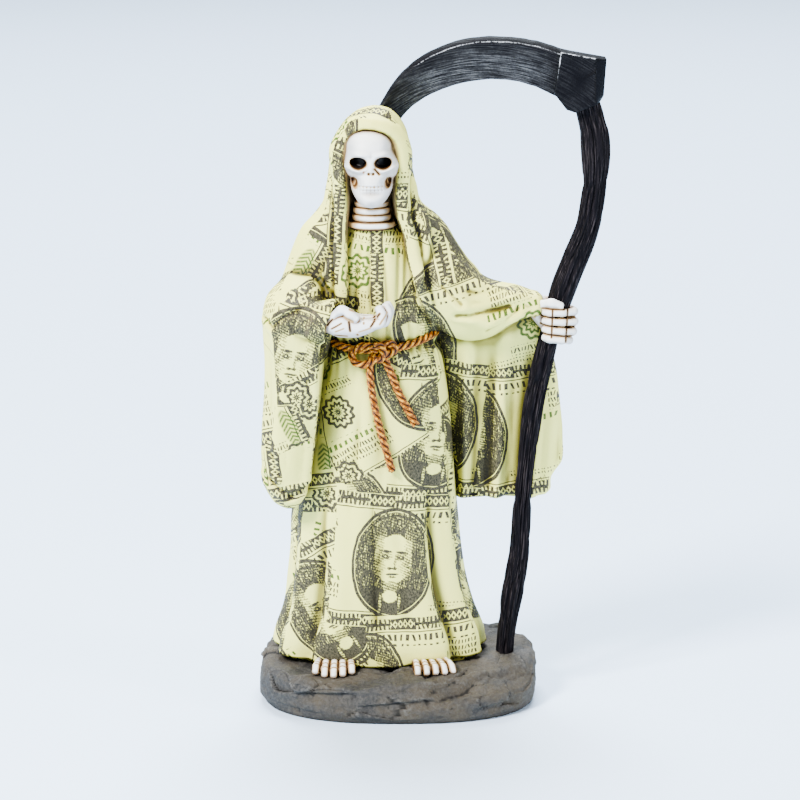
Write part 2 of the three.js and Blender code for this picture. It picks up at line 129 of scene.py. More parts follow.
def outlineDistance(x, z, outline):
    # signed distance to a closed outline in x and z: positive inside
    a = np.array(outline, float)
    b = np.roll(a, -1, axis=0)
    best = np.full(x.shape, 1e9)
    inside = np.zeros(x.shape, bool)
    for (ax, az), (bx, bz) in zip(a, b):
        best = np.minimum(best, stretch(x, z, (ax, az), (bx, bz)))
        rise = bz - az if abs(bz - az) > 1e-9 else 1e-9
        inside ^= ((az > z) != (bz > z)) & (x < ax + (z - az) * (bx - ax) / rise)
    return np.where(inside, best, -best)


def gridShell(points):
    # closed surface from a grid of rings (rows, columns, 3), with a fan to a pole at each end
    rows, columns, _ = points.shape
    here = np.arange(rows * columns).reshape(rows, columns)
    beside = np.roll(here, -1, axis=1)
    quads = np.stack([here[:-1], beside[:-1], beside[1:], here[1:]], -1).reshape(-1, 4)
    low, high = np.full(columns, here.size), np.full(columns, here.size + 1)
    tris = np.vstack([np.stack([beside[0], here[0], low], -1), np.stack([here[-1], beside[-1], high], -1)])
    return np.vstack([points.reshape(-1, 3), points[0].mean(0), points[-1].mean(0)]), quads, tris


def joinShells(shells):
    # stack several shells into one list of vertices and faces
    verts, quads, tris, count = [], [], [], 0
    for v, q, t in shells:
        verts.append(v)
        quads.append(q + count)
        tris.append(t + count)
        count += len(v)
    return np.vstack(verts), np.vstack(quads), np.vstack(tris)


def ringShell(x, y, z):
    # gridShell of three coordinate arrays spread to one shape
    return gridShell(np.stack(np.broadcast_arrays(x, y, z), -1))


def around(columns):
    # the angles of a ring, as one row
    return np.linspace(0, 2 * np.pi, columns, endpoint=False)[None, :]


def tracks(rows, at):
    # smoothRows with each of the table's columns upright
    return smoothRows(rows, at).T[..., None]


def ovalOff(x, z, middle, half):
    # 0 in the middle of an upright ellipse, 1 on it
    return np.hypot((x - middle[0]) / half[0], (z - middle[1]) / half[1])


def meshPiece(name, shell):
    # millimetre arrays into a smooth-shaded Blender mesh in metres
    verts, quads, tris = shell
    mesh = bpy.data.meshes.new(name)
    mesh.vertices.add(len(verts))
    mesh.vertices.foreach_set("co", (verts * mm).astype(np.float32).ravel())
    mesh.loops.add(quads.size + tris.size)
    mesh.loops.foreach_set("vertex_index", np.concatenate([quads.ravel(), tris.ravel()]).astype(np.int32))
    mesh.polygons.add(len(quads) + len(tris))
    starts = np.concatenate([np.arange(len(quads)) * 4, quads.size + np.arange(len(tris)) * 3])
    mesh.polygons.foreach_set("loop_start", starts.astype(np.int32))
    mesh.update(calc_edges=True)
    mesh.validate()
    mesh.polygons.foreach_set("use_smooth", np.ones(len(mesh.polygons), bool))
    piece = bpy.data.objects.new(name, mesh)
    bpy.context.scene.collection.objects.link(piece)
    return piece


def castOver(piece, voxel, smoothing):
    # melts overlapping closed shells into one skin, then softens it like a moulded casting
    remesh = piece.modifiers.new("cast", "REMESH")
    remesh.mode = "VOXEL"
    remesh.voxel_size = voxel * mm
    soften = piece.modifiers.new("soften", "SMOOTH")
    soften.factor = 0.5
    soften.iterations = smoothing
    bpy.context.view_layer.update()
    cast = bpy.data.meshes.new_from_object(piece.evaluated_get(bpy.context.evaluated_depsgraph_get()))
    piece.modifiers.clear()
    old = piece.data
    piece.data = cast
    bpy.data.meshes.remove(old)
    cast.polygons.foreach_set("use_smooth", np.ones(len(cast.polygons), bool))
    return piece


def readArray(items, label, width=1, kind=np.float32):
    # one property of all of a mesh's points, edges, corners or faces
    values = np.empty(len(items) * width, kind)
    items.foreach_get(label, values)
    return values.reshape(-1, width) if width > 1 else values


def readCoords(piece):
    return readArray(piece.data.vertices, "co", 3).astype(float) / mm


def readNormals(piece):
    return readArray(piece.data.vertex_normals, "vector", 3).astype(float)


def keepValues(piece, name, values):
    layer = piece.data.attributes.new(name, "FLOAT", "POINT")
    layer.data.foreach_set("value", values.astype(np.float32))


def keepMap(piece, name, places):
    layer = piece.data.uv_layers.new(name=name)
    layer.data.foreach_set("uv", places.astype(np.float32).ravel())


def levelLoft(rows, columns, levels, power, relief):
    # rings between left, right, front and back limits taken from a smooth table, pushed
    # outward by relief(angle in degrees from the front, z, x, y), which may also lift z
    z = np.linspace(rows[0][0], rows[-1][0], levels)
    left, right, front, back = tracks(rows, z)
    z, angle = np.broadcast_arrays(z[:, None], around(columns))
    side, depth = squared(np.sin(angle), power), -squared(np.cos(angle), power)
    x = (left + right) / 2 + side * (right - left) / 2
    y = (front + back) / 2 + depth * (back - front) / 2
    out, lift = relief(np.degrees(angle), z, x, y)
    return np.stack([x + side * out, y + depth * out, z + lift], -1)


# tunic and skirt
tunic = {
    "rows": [  # height, left, right, front, back
        (16.2, -44.4, 30.4, -19.8, 26.2), (18, -44, 30, -19.6, 26), (22, -43.2, 29.5, -19.6, 25.6),
        (34, -39.6, 25.4, -18.6, 24), (43, -38.6, 23, -18.2, 23.4), (54, -37.6, 21.4, -17.9, 22.8),
        (66, -37.4, 20.4, -17.7, 22.2), (80, -35.5, 19.6, -17.5, 21.6), (100, -31.4, 18.4, -17.2, 20.8),
        (116, -28.6, 16.4, -16.6, 19.6), (124, -26.6, 14.8, -15.8, 18.6), (129.5, -25.8, 13.8, -15, 17.8),
        (142, -27.2, 13.8, -15.3, 17.6), (153, -27.4, 12.4, -14.8, 17), (160, -26, 9.6, -14, 16),
        (166, -21.6, 4.6, -13.2, 14), (170.5, -17.6, 0, -12, 8)],
    "beltHeight": 129.5,
    "footArch": 2.4,
    # angle at the belt, angle at the hem, width at the belt, width at the hem, top, bottom, rise
    "folds": [
        (-3, 3, 3.5, 6, 127, 84, -0.9), (10, 15, 4, 7, 118, 40, -0.8), (-18, -16, 3.5, 6, 127, 82, -0.8),
        (20, 34, 6, 13, 112, 16, 1.5), (40, 47, 4, 5.5, 96, 16, -3.2), (56, 66, 5, 10, 124, 16, 1.7),
        (62, 80, 4, 6, 110, 30, -1.6), (-10, -27, 6, 12, 100, 16, 1.5), (-34, -43, 4, 6, 104, 20, -2.1),
        (-52, -62, 6, 10, 110, 16, 1.5), (-74, -80, 4, 7, 110, 20, -1.7), (2, -4, 4, 8, 92, 16, -1.1),
        (100, 96, 6, 8, 110, 16, 1.2), (-100, -98, 6, 8, 110, 16, 1.2)],
    "chestFolds": [-14.2, -9.2, -4.8, -0.4, 3.6],
}


def hemHeight(degrees, x):
    # 15 mm at the front, arched over both feet, rising round the sides and the back
    a = np.radians(degrees)
    arches = (bump(x, -22.4, 6.6) + bump(x, 10.4, 6.6)) * (np.cos(a) > 0)
    return 15 + 1.3 * (1 - np.cos(a)) + 1.6 * np.sin(a) ** 2 + tunic["footArch"] * arches


def longFolds(degrees, z, seed):
    # back folds: cosine in the angle with a wandering phase, deeper toward the hem
    wander = 26 * (uneven(degrees * 0.02, z * 0.012, seed, seed) + 0.5)
    wave = np.cos(np.radians(13 * degrees) + 0.22 * wander)
    return (np.abs(0.5 + 0.5 * wave) ** 0.8 - 0.5) * 2


def tunicRelief(degrees, z, x, y):
    # skirt folds that lean as they fall, back folds, chest pleats and gathers at the belt
    out = 0.5 * uneven(degrees * 0.11, z * 0.07, 0, 5)
    for a0, a1, w0, w1, top, low, rise in tunic["folds"]:
        t = np.clip((top - z) / (top - low), 0, 1)
        out += rise * ease(0, 0.75, t) * bump(turnFrom(degrees, a0 + (a1 - a0) * t), 0, w0 + (w1 - w0) * t)
    back = ease(0.05, 0.5, -np.cos(np.radians(degrees)))
    out += 1.35 * back * longFolds(degrees, z, 3) * (1 - ease(70, 150, z))
    front = np.clip(np.cos(np.radians(degrees)), 0, 1)
    for place in tunic["chestFolds"]:
        drift = 0.9 * np.sin(z * 0.09 + place)
        out -= 0.75 * bump(x, place + drift, 1.0) * front * ease(131, 138, z) * (1 - ease(160, 172, z))
    near = bump(z, tunic["beltHeight"], 2.4)
    gathers = 0.35 * np.sin(np.radians(degrees * 31) + 2 * np.sin(z * 0.2))
    return out - 0.9 * near + 0.7 * bump(z, 136, 4.5) * front + gathers * bump(z, tunic["beltHeight"], 11), 0 * z


def makeTunic():
    # the skin above the hem, then an inner skirt that turns under the hem and stands on the rock
    columns = 400
    skin = levelLoft(tunic["rows"], columns, 214, 2.1, tunicRelief)
    degrees = np.linspace(0, 360, columns, endpoint=False)
    fall = 1 - ease(16.2, 30, skin[:, :, 2])
    skin[:, :, 2] += fall * (hemHeight(degrees, skin[0, :, 0])[None, :] - 16.2)
    rim = skin[0]
    middle = np.array([-7.0, 3.0, 0.0])
    rings = []
    for inset, drop in [(7.0, 5.5), (5.6, 1.0), (3.4, -0.3), (1.4, -0.9), (0.45, -0.8), (0.1, -0.4)]:
        flat = rim - middle
        reach = np.hypot(flat[:, 0], flat[:, 1])[:, None]
        ring = middle + flat * (1 - inset / reach)
        ring[:, 2] = rim[:, 2] - (drop if drop > 0 else -drop * 0.4 - 0.45)
        rings.append(ring)
    return gridShell(np.concatenate([np.array(rings), skin]))


# mantle, hood and sleeves
mantle = {
    "rows": [
        (104, -27, 12, -2, 20), (114, -31, 12.4, -8, 19.4), (127.5, -38, 12.6, -13.6, 18.6),
        (140, -44, 18.4, -18.8, 18.6), (146, -43.2, 24, -18.8, 18.8), (152.1, -40.3, 28.4, -18.2, 18.8),
        (158.4, -38.1, 23.8, -17, 18.8), (164.8, -35.6, 19.6, -16, 18.4), (169, -33.4, 17.2, -15.6, 18.2),
        (173.2, -29.6, 13.4, -15.4, 17.8), (177.4, -26.5, 8.2, -15.4, 17.4), (184, -24.9, 6.2, -16, 17.1),
        (190, -24.3, 4.9, -16.7, 16.8), (194.2, -23.6, 4.4, -16.9, 16.4), (199, -22.4, 3.7, -16.8, 15.4),
        (203, -20.7, 2.9, -15.8, 14), (206, -18.6, 1.4, -14, 12), (208.6, -16.2, -0.8, -11.4, 9.4),
        (210.4, -12.8, -3.4, -7.6, 6), (211.3, -9.4, -6.6, -3, 1.6)],
    "opening": [
        (-25.2, 100), (-25, 126), (-23.4, 134), (-19.6, 141), (-17.4, 148), (-17.9, 160), (-18.2, 170),
        (-17.9, 180.4), (-18.2, 186.5), (-18.8, 190.4),
        (-19.3, 194), (-19.3, 197.7), (-18.7, 200.1), (-17.5, 202.2), (-15.2, 204.2), (-11.9, 205.3),
        (-8, 205), (-5.1, 204.1), (-2.5, 202.6), (-0.7, 200.1), (0.3, 195.9), (0.3, 191), (-0.5, 186.7),
        (-0.6, 180.5), (0, 174.2), (2.2, 168), (3.6, 159), (6.2, 150), (8.6, 144), (11.4, 138), (11.9, 100)],
    "bandWidth": 4.4,
    "bandRise": 2.0,
    # edges of the two front panels, top to bottom; the cape beyond lies lower
    "rightPanel": [(8.0, 184), (8.8, 179.2), (10.9, 170.4), (10.5, 161.6), (8.4, 154.5), (7.2, 150.5), (8.6, 146),
                   (12, 138.4)],
    "leftPanel": [(-20.4, 184), (-20.9, 177.3), (-21.4, 168.5), (-23.6, 161.9), (-26.4, 154.8), (-23.4, 149.5),
                  (-20.4, 145.9)],
}
sleeves = {
    "bag": [
        (72.6, -39.4, -36.4, -17.4, -13), (74, -42.4, -34.4, -18.4, -10), (77, -45, -32.4, -19.6, -5),
        (82, -47, -30.4, -20.8, -0.5), (88, -47.3, -29.4, -22, 3), (99, -47.2, -27.9, -24, 6),
        (112, -46.1, -26.9, -25.8, 8), (125, -45.8, -25.9, -27, 9), (134, -46.4, -25.2, -27.6, 9.4),
        (142, -46.4, -24.6, -27.2, 9.6), (147, -44.8, -24.2, -25, 9.4), (150.4, -41.4, -25.6, -20.4, 8.8),
        (154, -38, -28, -14, 7)],
    "hanging": [
        (71.2, 21, 52, 4.6, 8.6), (72.4, 20, 53.2, 3.6, 9.8), (78, 19.4, 54.4, 3.2, 10.6),
        (83, 19, 57.6, 3, 11), (92, 18.4, 58.2, 3, 11.4), (106, 17, 57, 2.8, 11.8),
        (120, 15.4, 55, 0.6, 12), (127, 14, 53, -1.6, 12), (133, 13, 50.6, -3, 11), (138, 20, 49.4, -3.4, 9.6),
        (142, 30, 48, -3.2, 8)],
    "arm": [  # x, bottom, top, front, back
        (6, 137, 164, -13, 14), (13, 134.2, 165, -15.2, 14), (18, 131.2, 162, -15.8, 13.6),
        (22, 129.8, 158.6, -15.6, 13.2), (26, 129.4, 154.6, -15, 12.6), (31, 130.2, 151.2, -13.8, 12),
        (36, 132.4, 149.6, -12, 11), (41, 135.4, 148.6, -10, 9.6), (46, 137.6, 146.8, -8, 7.4),
        (50.2, 138.6, 144.6, -5.8, 5.2)],
    # creases seen from the front: both ends, depth
    "bagCreases": [((-45.5, 84), (-37.5, 77.5), 1.1), ((-37.5, 77.5), (-29.5, 81.5), 0.9),
                   ((-44, 93), (-41.5, 86), 0.7), ((-31, 120), (-30, 98), 0.6)],
    "armCreases": [((14.8, 151), (21.5, 145), 1.0), ((20, 140.2), (37.8, 143.4), 1.1),
                   ((30.5, 134), (41, 141.6), 1.0), ((24, 149.5), (38, 146.6), 0.8)],
    "arc": [(-45.9, 140.9), (-43.3, 138.7), (-39.8, 141.8), (-36, 144.2), (-32.4, 145.4), (-27.1, 144.9)],
    "cuff": [  # step, x, half depth, half height
        (0, -37, 3, 4), (1, -34, 5, 6), (2, -29, 6.2, 7.2), (3, -25.6, 6.9, 7.7), (4, -24.6, 6.6, 7.4),
        (5, -24.9, 5.8, 6.6), (6, -27.4, 5.1, 6), (7, -28.2, 2, 2.6)],
    "cuffMiddle": (-23.6, 140.6), "cuffLean": 0.42,
}


def besideLine(x, z, line):
    # how far to the right of a falling line of (x, z) points
    line = np.array(line)[::-1]
    return x - np.interp(z, line[:, 1], line[:, 0])


def mantleRelief(degrees, z, x, y):
    # a raised band round the opening, steps at the front panels' edges and long folds behind
    a = np.radians(degrees)
    front = ease(-0.15, 0.35, np.cos(a))
    d, width = outlineDistance(x, z, mantle["opening"]), mantle["bandWidth"]  # d above 0 inside
    band = np.clip(1 - np.abs(-d - width / 2) / (width / 2), 0, 1)
    out = mantle["bandRise"] * np.sqrt(band) * ease(118, 150, z) * (1 - 0.5 * ease(197, 205, z))
    out -= 1.3 * bump(-d, width + 0.7, 0.9)
    out += 0.7 * bump(-d, width + 3.2, 1.8) * ease(150, 175, z) * ease(205, 192, z)
    right, left = besideLine(x, z, mantle["rightPanel"]), -besideLine(x, z, mantle["leftPanel"])
    for beyond, low, high in [(right, 139, 182), (left, 146, 182)]:
        step = 0.7 * bump(beyond, -1.7, 1.5) - 1.3 * ease(-0.3, 0.8, beyond) * ease(9, 2.5, beyond)
        out += step * ease(low, low + 4, z) * ease(high, high - 8, z)
    out = front * out + 0.8 * ease(0, 0.5, -np.cos(a)) * longFolds(degrees, z, 9) * ease(188, 150, z)
    lift = front * ease(203, 207, z) * (0.7 * np.sqrt(band) - 0.6 * bump(-d, width + 0.8, 1.1))
    return out + 0.9 * uneven(degrees * 0.09, z * 0.05, 0, 8), lift


def makeMantle():
    # the hooded shell; where the front lies inside the opening it is pushed back to a lining
    points = levelLoft(mantle["rows"], 420, 330, 2.0, mantleRelief)
    x, y, z = points[..., 0], points[..., 1], points[..., 2]
    d = outlineDistance(x, z, mantle["opening"])
    innerWall = -7.0 + (12 - 0.02 * (x + 9) ** 2) * ease(162, 170, z)
    innerWall = innerWall + (-10.5 - innerWall) * ease(184, 190, z)
    push = ease(0.0, 1.1 + 1.5 * bump(z, 178, 10), d) * (y < 2)
    points[..., 1] = y + (np.maximum(innerWall, y) - y) * push
    return gridShell(points)


def creased(x, z, creases):
    # a valley along each line with a soft ridge beside it
    total = np.zeros_like(x)
    for start, end, depth in creases:
        away = stretch(x, z, start, end)
        total += depth * (0.55 * bump(away, 2.0, 1.2) - bump(away, 0, 0.9))
    return total


def bagRelief(degrees, z, x, y):
    # soft drapes that hang from the forearm, and a pinch along the cuff's right rim
    out = 0.6 * np.sin(np.radians(degrees * 6) + z * 0.03) * (1 - ease(120, 150, z)) * ease(74, 90, z)
    out += -1.2 * bump(turnFrom(degrees, 66), 0, 9) * ease(80, 100, z) * (1 - ease(136, 146, z))
    out += 0.8 * bump(turnFrom(degrees, 44), 0, 12) * ease(76, 96, z) * (1 - ease(132, 148, z))
    facing = ease(-0.1, 0.5, np.cos(np.radians(degrees)))
    out += -0.8 * bump(z, 148.2, 1.5) * facing
    arc = np.min([stretch(x, z, *ends) for ends in zip(sleeves["arc"][:-1], sleeves["arc"][1:])], axis=0)
    out += facing * (0.7 * bump(arc, 1.6, 1.0) - 1.0 * bump(arc, 0, 0.8) + creased(x, z, sleeves["bagCreases"]))
    return out + 0.8 * uneven(degrees * 0.05, z * 0.06, 0, 15), 0 * z


def hangingRelief(degrees, z, x, y):
    # a rim of cloth that thickens at the very bottom
    return 0.35 * bump(z, 73, 1.2), 0 * z


def cuffSlant(up):
    # how far the cuff's rim moves to the right with height above its middle
    return sleeves["cuffLean"] * np.maximum(up + 0.6, 0) + 0.08 * up


def makeCuff():
    # rings round the wrist that widen to a rim and turn back inside, leaning with height
    x, halfDepth, halfHeight = tracks(sleeves["cuff"], np.linspace(0, 7, 90))
    y, z = sleeves["cuffMiddle"]
    up = np.sin(around(120)) * halfHeight
    return ringShell(x + cuffSlant(up), y + np.cos(around(120)) * halfDepth, z + up)


def makeHanging():
    # a thin curtain: both faces follow the same upright folds, wider and deeper toward the hem
    points = levelLoft(sleeves["hanging"], 320, 190, 3.4, hangingRelief)
    x, z = points[..., 0], points[..., 2]
    growth = 1 - 0.75 * ease(90, 134, z)
    fan = (x - 14) / (1 + 0.12 * (z - 71) / 60)
    fold = 1.5 * np.sin(fan * 0.5 + 0.3) + 0.7 * np.sin(fan * 1.07 + 1.4)
    points[..., 1] += growth * fold
    points[..., 2] += 0.5 * growth * np.cos(fan * 0.5) * (1 - ease(71, 84, z))
    return gridShell(points)


def crossRings(rows, columns, levels, power):
    # rings across x between bottom, top, front and back limits, counterclockwise seen from +X,
    # with the bent cosine and sine that carry them out
    x = np.linspace(rows[0][0], rows[-1][0], levels)
    low, high, front, back = tracks(rows, x)
    c, s = squared(np.cos(around(columns)), power), squared(np.sin(around(columns)), power)
    y, z = (front + back) / 2 + c * (back - front) / 2, (low + high) / 2 + s * (high - low) / 2
    return x[:, None] + 0 * c, y, z, c, s


def makeArm():
    # slanting swags and creases round the forearm, and a rim at the wrist
    columns = 260
    x, y, z, c, s = crossRings(sleeves["arm"], columns, 150, 2.1)
    facing = np.clip(-np.cos(around(columns)), 0, 1)
    above = 0.5 + s / 2
    swag = 1.25 * np.sin(above * 11 + 0.1 * x + 0.6) * ease(12, 20, x) * ease(49, 42, x)
    swag += -1.2 * bump(above - 0.012 * (x - 24), 0.42, 0.07) * ease(16, 22, x) * ease(44, 36, x)
    out = 0.7 * bump(x, 48.3, 1.4) + facing * (swag + creased(x, z, sleeves["armCreases"]))
    return ringShell(x, y + c * out, z + s * out)


tunicPiece = meshPiece("tunic", makeTunic())
mantlePiece = meshPiece("mantle", joinShells([
    makeMantle(), gridShell(levelLoft(sleeves["bag"], 300, 200, 2.8, bagRelief)), makeCuff(), makeHanging(),
    makeArm()]))
castOver(mantlePiece, 0.68, 2)
print("robe done", len(tunicPiece.data.polygons), len(mantlePiece.data.polygons))


# skull and neck
skull = {
    "rows": [  # height, middle x, half width, front, back
        (178.7, -9.3, 1.4, -18.4, -13), (179.1, -9.3, 2.9, -19.1, -11.5), (179.9, -9.3, 4.1, -19.7, -9),
        (181.4, -9.2, 5.4, -20.0, -6), (183.8, -9.15, 6.75, -19.8, -3), (185.9, -9.1, 7.4, -19.5, 0),
        (188, -9.1, 7.7, -19.3, 1), (189.4, -9.1, 8.7, -19.2, 1.6), (191.4, -9.2, 9.4, -19.2, 2),
        (193.6, -9.3, 9.4, -19.3, 2.2), (195.4, -9.6, 8.7, -19.6, 2.4), (197.6, -10, 8, -19.6, 2.4),
        (200.3, -10, 7.6, -18.9, 2), (202.2, -10, 6.5, -17.6, 0.6), (203.4, -10, 5, -16, -1),
        (204.3, -10, 2.6, -13.2, -4), (204.6, -10, 1.0, -11, -7)],
    "middle": -9.45,
    "eyes": [(-13.7, 194.0), (-5.3, 194.05)],
    "eyeHalf": (2.9, 2.08),
    "eyeDepth": 4.6,
    "cheeks": [(-14.9, 186.8), (-3.6, 186.9)],
    "cheekHalf": (1.15, 1.95),
    "nose": (-9.35, 190.5),
    "crack": ((-8.1, 192.2), (-6.5, 190.3)),
    "mouthHeight": 186.1, "toothWidth": 1.3,
    "nostrils": (-0.75, 0.75),
}
neck = {"rings": [(171.4, 8.2, 7.6), (173.9, 6.7, 6.5), (176.3, 6.4, 6.2), (178.7, 5.9, 5.7)],
        "middle": (-9.3, -6.6),  # rings: height, half width, half depth
        "grooves": [172.7, 175.1, 177.5], "ringHalf": 1.25}


def skullPush(x, z):
    # how far the front is pushed back: bells and ridges placed by x and z, both sides alike
    side = np.abs(x - skull["middle"])
    push = -1.2 * bump(z, 197.0, 1.0) * bump(side, 4.2, 3.2)  # brows
    push += 0.9 * bump(side, 7.6, 1.6) * bump(z, 197.9, 2.0)  # temples
    push -= 1.7 * bump(z, 191.1 + 0.2 * np.maximum(side - 3, 0), 0.85) * ease(2.2, 4.6, side)  # cheekbones
    push += 2.6 * bump(side, 6.0, 1.9) * bump(z, 187.5, 2.0)  # under them
    push -= 1.0 * bump(side, 0, 1.1) * bump(z, 192.4, 2.2)  # bridge of the nose
    push -= 1.3 * bump(side, 0, 3.6) * bump(z, 187.2, 2.4)  # upper jaw
    push -= 0.9 * bump(side, 0, 2.9) * bump(z, 181.6, 1.5)  # chin
    push += 0.7 * bump(side, 0, 4.4) * bump(z, 183.7, 0.9)
    for eye in skull["eyes"]:
        r = ovalOff(x, z, eye, skull["eyeHalf"])
        push += skull["eyeDepth"] * ease(1.08, 0.7, r) - 0.2 * bump(r, 1.3, 0.22)
    for cheek in skull["cheeks"]:
        lean = 0.22 * (z - cheek[1]) * np.sign(cheek[0] - skull["middle"])
        push += 2.6 * ease(1.15, 0.62, ovalOff(x - lean, z, cheek, skull["cheekHalf"]))
    nx, nz = skull["nose"]
    for k in skull["nostrils"]:
        push += 1.0 * bump(np.hypot(x - nx - k, z - nz), 0, 0.42)
    push += 0.8 * bump(stretch(x, z, *skull["crack"]), 0, 0.34)
    mouth, row = skull["mouthHeight"], ease(5.4, 4.0, side)
    push += row * (0.3 * bump(z, mouth, 0.26) + 0.16 * bump(z, mouth - 1.3, 0.3))
    return push + 0.2 * row * toothGaps(x) ** 6 * bump(z, mouth - 0.4, 1.5)


def toothGaps(x):
    # 1 between two teeth, 0 on them
    return 0.5 + 0.5 * np.cos((x - skull["middle"]) * 2 * np.pi / skull["toothWidth"])


def makeSkull():
    # a loft whose front is pushed back by skullPush
    z = np.linspace(178.7, 204.6, 200)
    middle, half, front, back = tracks(skull["rows"], z)
    a = around(220)
    x = middle + squared(np.sin(a), 2.2) * half
    y = (front + back) / 2 - squared(np.cos(a), 2.2) * (back - front) / 2
    return ringShell(x, y + skullPush(x, z[:, None]) * ease(0.0, 0.4, np.cos(a)), z[:, None])


def makeNeck():
    # stacked rounded rings: radius = ring radius minus a groove between neighbours
    z = np.linspace(169.9, 180, 100)[:, None]
    rings = np.array(neck["rings"])
    nearest = rings[np.abs(z - rings[:, 0]).argmin(1)]
    off = np.abs(z - nearest[:, :1]) / neck["ringHalf"]
    radii = nearest[:, 1:] - 0.9 * (1 - np.sqrt(1 - np.clip(off, 0, 0.98) ** 2))
    x, y = neck["middle"]
    return ringShell(x + np.sin(around(110)) * radii[:, :1], y - np.cos(around(110)) * radii[:, 1:], z)


skullPiece = meshPiece("skull", joinShells([makeSkull(), makeNeck()]))
print("skull done")


# tubes along paths
def smoothPath(points, count):
    # Catmull-Rom curve through the points, evenly sampled by length
    p = np.array(points, float)
    p = np.vstack([2 * p[0] - p[1], p, 2 * p[-1] - p[-2]])
    t = np.linspace(0, len(p) - 3 - 1e-6, 600)
    i = t.astype(int)
    f = (t - i)[:, None]
    a, b, c, d = p[i], p[i + 1], p[i + 2], p[i + 3]
    curve = 0.5 * (2 * b + (c - a) * f + (2 * a - 5 * b + 4 * c - d) * f**2 + (3 * b - a - 3 * c + d) * f**3)
    length = np.concatenate([[0], np.cumsum(np.linalg.norm(np.diff(curve, axis=0), axis=1))])
    at = np.linspace(0, length[-1], count)
    return np.stack([np.interp(at, length, curve[:, k]) for k in range(3)], -1), at


def pathFrames(path, hint):
    # two unit vectors across the path at each point, the first nearest to the hint
    along = np.gradient(path, axis=0)
    along /= np.linalg.norm(along, axis=1)[:, None]
    u = hint - along * (along @ hint)[:, None]
    u /= np.linalg.norm(u, axis=1)[:, None]
    return u, np.cross(along, u)


def tube(path, radius, sides):
    # ring of the given radius carried along the path: p + r (u cos a + v sin a)
    u, v = pathFrames(path, np.array((0.13, -1.0, 0.21)))
    a = around(sides)[..., None]
    r = np.broadcast_to(radius, len(path))[:, None, None]
    return gridShell(path[:, None, :] + r * (u[:, None, :] * np.cos(a) + v[:, None, :] * np.sin(a)))


def boneTube(joints, radius, count=70, tip=0.55):
    # finger bones: radius swells at every joint and slims between, closing round at the tip
    path, at = smoothPath(joints, count)
    marks = np.array(joints, float)
    near = np.array([np.linalg.norm(path - m, axis=1).argmin() for m in marks])
    swell = np.zeros(count)
    for k in near[1:-1] if len(near) > 2 else near[:1]:
        swell = np.maximum(swell, bump(at, at[k], radius * 0.75))
    end = np.sqrt(np.clip(1 - ((at - (at[-1] - radius * tip)) / (radius * tip)).clip(0, 0.999) ** 2, 0, 1))
    return tube(path, radius * (0.84 + 0.2 * swell) * end, 20)


# hands and toes
hands = {
    "boneRadius": 1.72,
    "cupped": [
        [(-12, -29.2, 139.4), (-6.4, -29.8, 141), (-5.8, -29.4, 144), (-7.2, -28.8, 147)],
        [(-11, -26.6, 138.8), (-4.8, -27, 141), (-3.7, -26.6, 144.2), (-4.9, -26.2, 147.4)],
        [(-11, -23.8, 138.8), (-4.4, -24, 141.2), (-3.2, -23.8, 144.4), (-4.3, -23.4, 147.4)],
        [(-11, -21, 139.6), (-5, -21.2, 142), (-3.8, -21, 144.4), (-4.5, -20.8, 146.6)],
        [(-24, -27.4, 141.2), (-19.4, -30.2, 145.6), (-16.4, -31, 144.4), (-13.6, -30.8, 142.2)]],
    "palm": [  # x, bottom, top, front, back
        (-28.6, 138, 142.6, -26.2, -20.8), (-24, 136.7, 143.9, -29, -19.4), (-20.8, 135.5, 146.1, -30.4, -18.8),
        (-17.6, 135.3, 146.6, -31, -18.4), (-13.6, 135.6, 144.8, -31.4, -18.2), (-9.4, 137.2, 143.6, -31.2, -18.4),
        (-5.6, 139.4, 142.8, -30.4, -19.2)],
    "fistRadius": 1.5,
    "fistLevels": [(140.1, 0.4, 0.2), (137.1, 0.5, 0.8), (134.1, 0.1, 1.3), (131.2, -1.2, 1.5)],
    "fistPalm": [
        (45.6, 138.2, 143.8, -4.6, 2.6), (48.4, 134.6, 144.7, -5, 4.6), (54, 129.8, 143.6, -2, 6.4),
        (59, 129.8, 141.6, -2.4, 5.6), (61.6, 131.6, 140.4, -1.6, 3.6)],
    # painted lines on the front along the joints, and painted shade in the gaps between fingers: start, end, half
    # width, depth of tone
    "strokes": [
        ((-16.8, 141.8), (-16.4, 138.6), 0.34, 1.0), ((-6.4, 144.6), (-9.4, 140.2), 0.3, 0.9),
        ((-22.4, 142.4), (-24.2, 140.2), 0.3, 0.9), ((-19.4, 141.2), (-22.7, 139.1), 0.26, 0.75),
        ((-18.6, 139.4), (-21.4, 138.1), 0.24, 0.5), ((-21.6, 136.7), (-17.4, 136.5), 0.26, 0.7),
        ((-18.2, 143.4), (-15.6, 142.1), 0.4, 0.5), ((-12, 142.8), (-12, 142.6), 0.3, 0.9),
        ((-11.8, 141.5), (-11.8, 141.2), 0.26, 0.6), ((-14, 137.3), (-13.8, 137.1), 0.3, 0.8),
        ((-3.9, 144.6), (-6.4, 141), 0.28, 0.45), ((-13.4, 138.3), (-9.6, 139.6), 0.3, 0.35),
        ((-16.6, 146.2), (-10, 144.0), 0.3, 0.5),
        ((49.6, 138.8), (61.4, 138.0), 0.32, 1.0), ((49.4, 135.9), (61.4, 134.6), 0.32, 1.0),
        ((49.8, 132.9), (60.8, 131.4), 0.32, 1.0), ((53.3, 141.4), (53.0, 131.6), 0.26, 0.9),
        ((58.6, 141.4), (58.0, 129.8), 0.28, 0.95), ((49.8, 141.7), (57.4, 141.3), 0.3, 0.8),
        ((48.6, 142.8), (47.2, 138), 0.5, 0.35)],
}
feet = {
    "left": (-22.4, -0.06, (4.6, 5.6, 5.8, 5.2, 3.8)),  # middle, turn, lengths of the toes
    "right": (10.4, 0.5, (4.6, 4.8, 4.6, 4, 2.6)),
    "radius": 1.45,
}


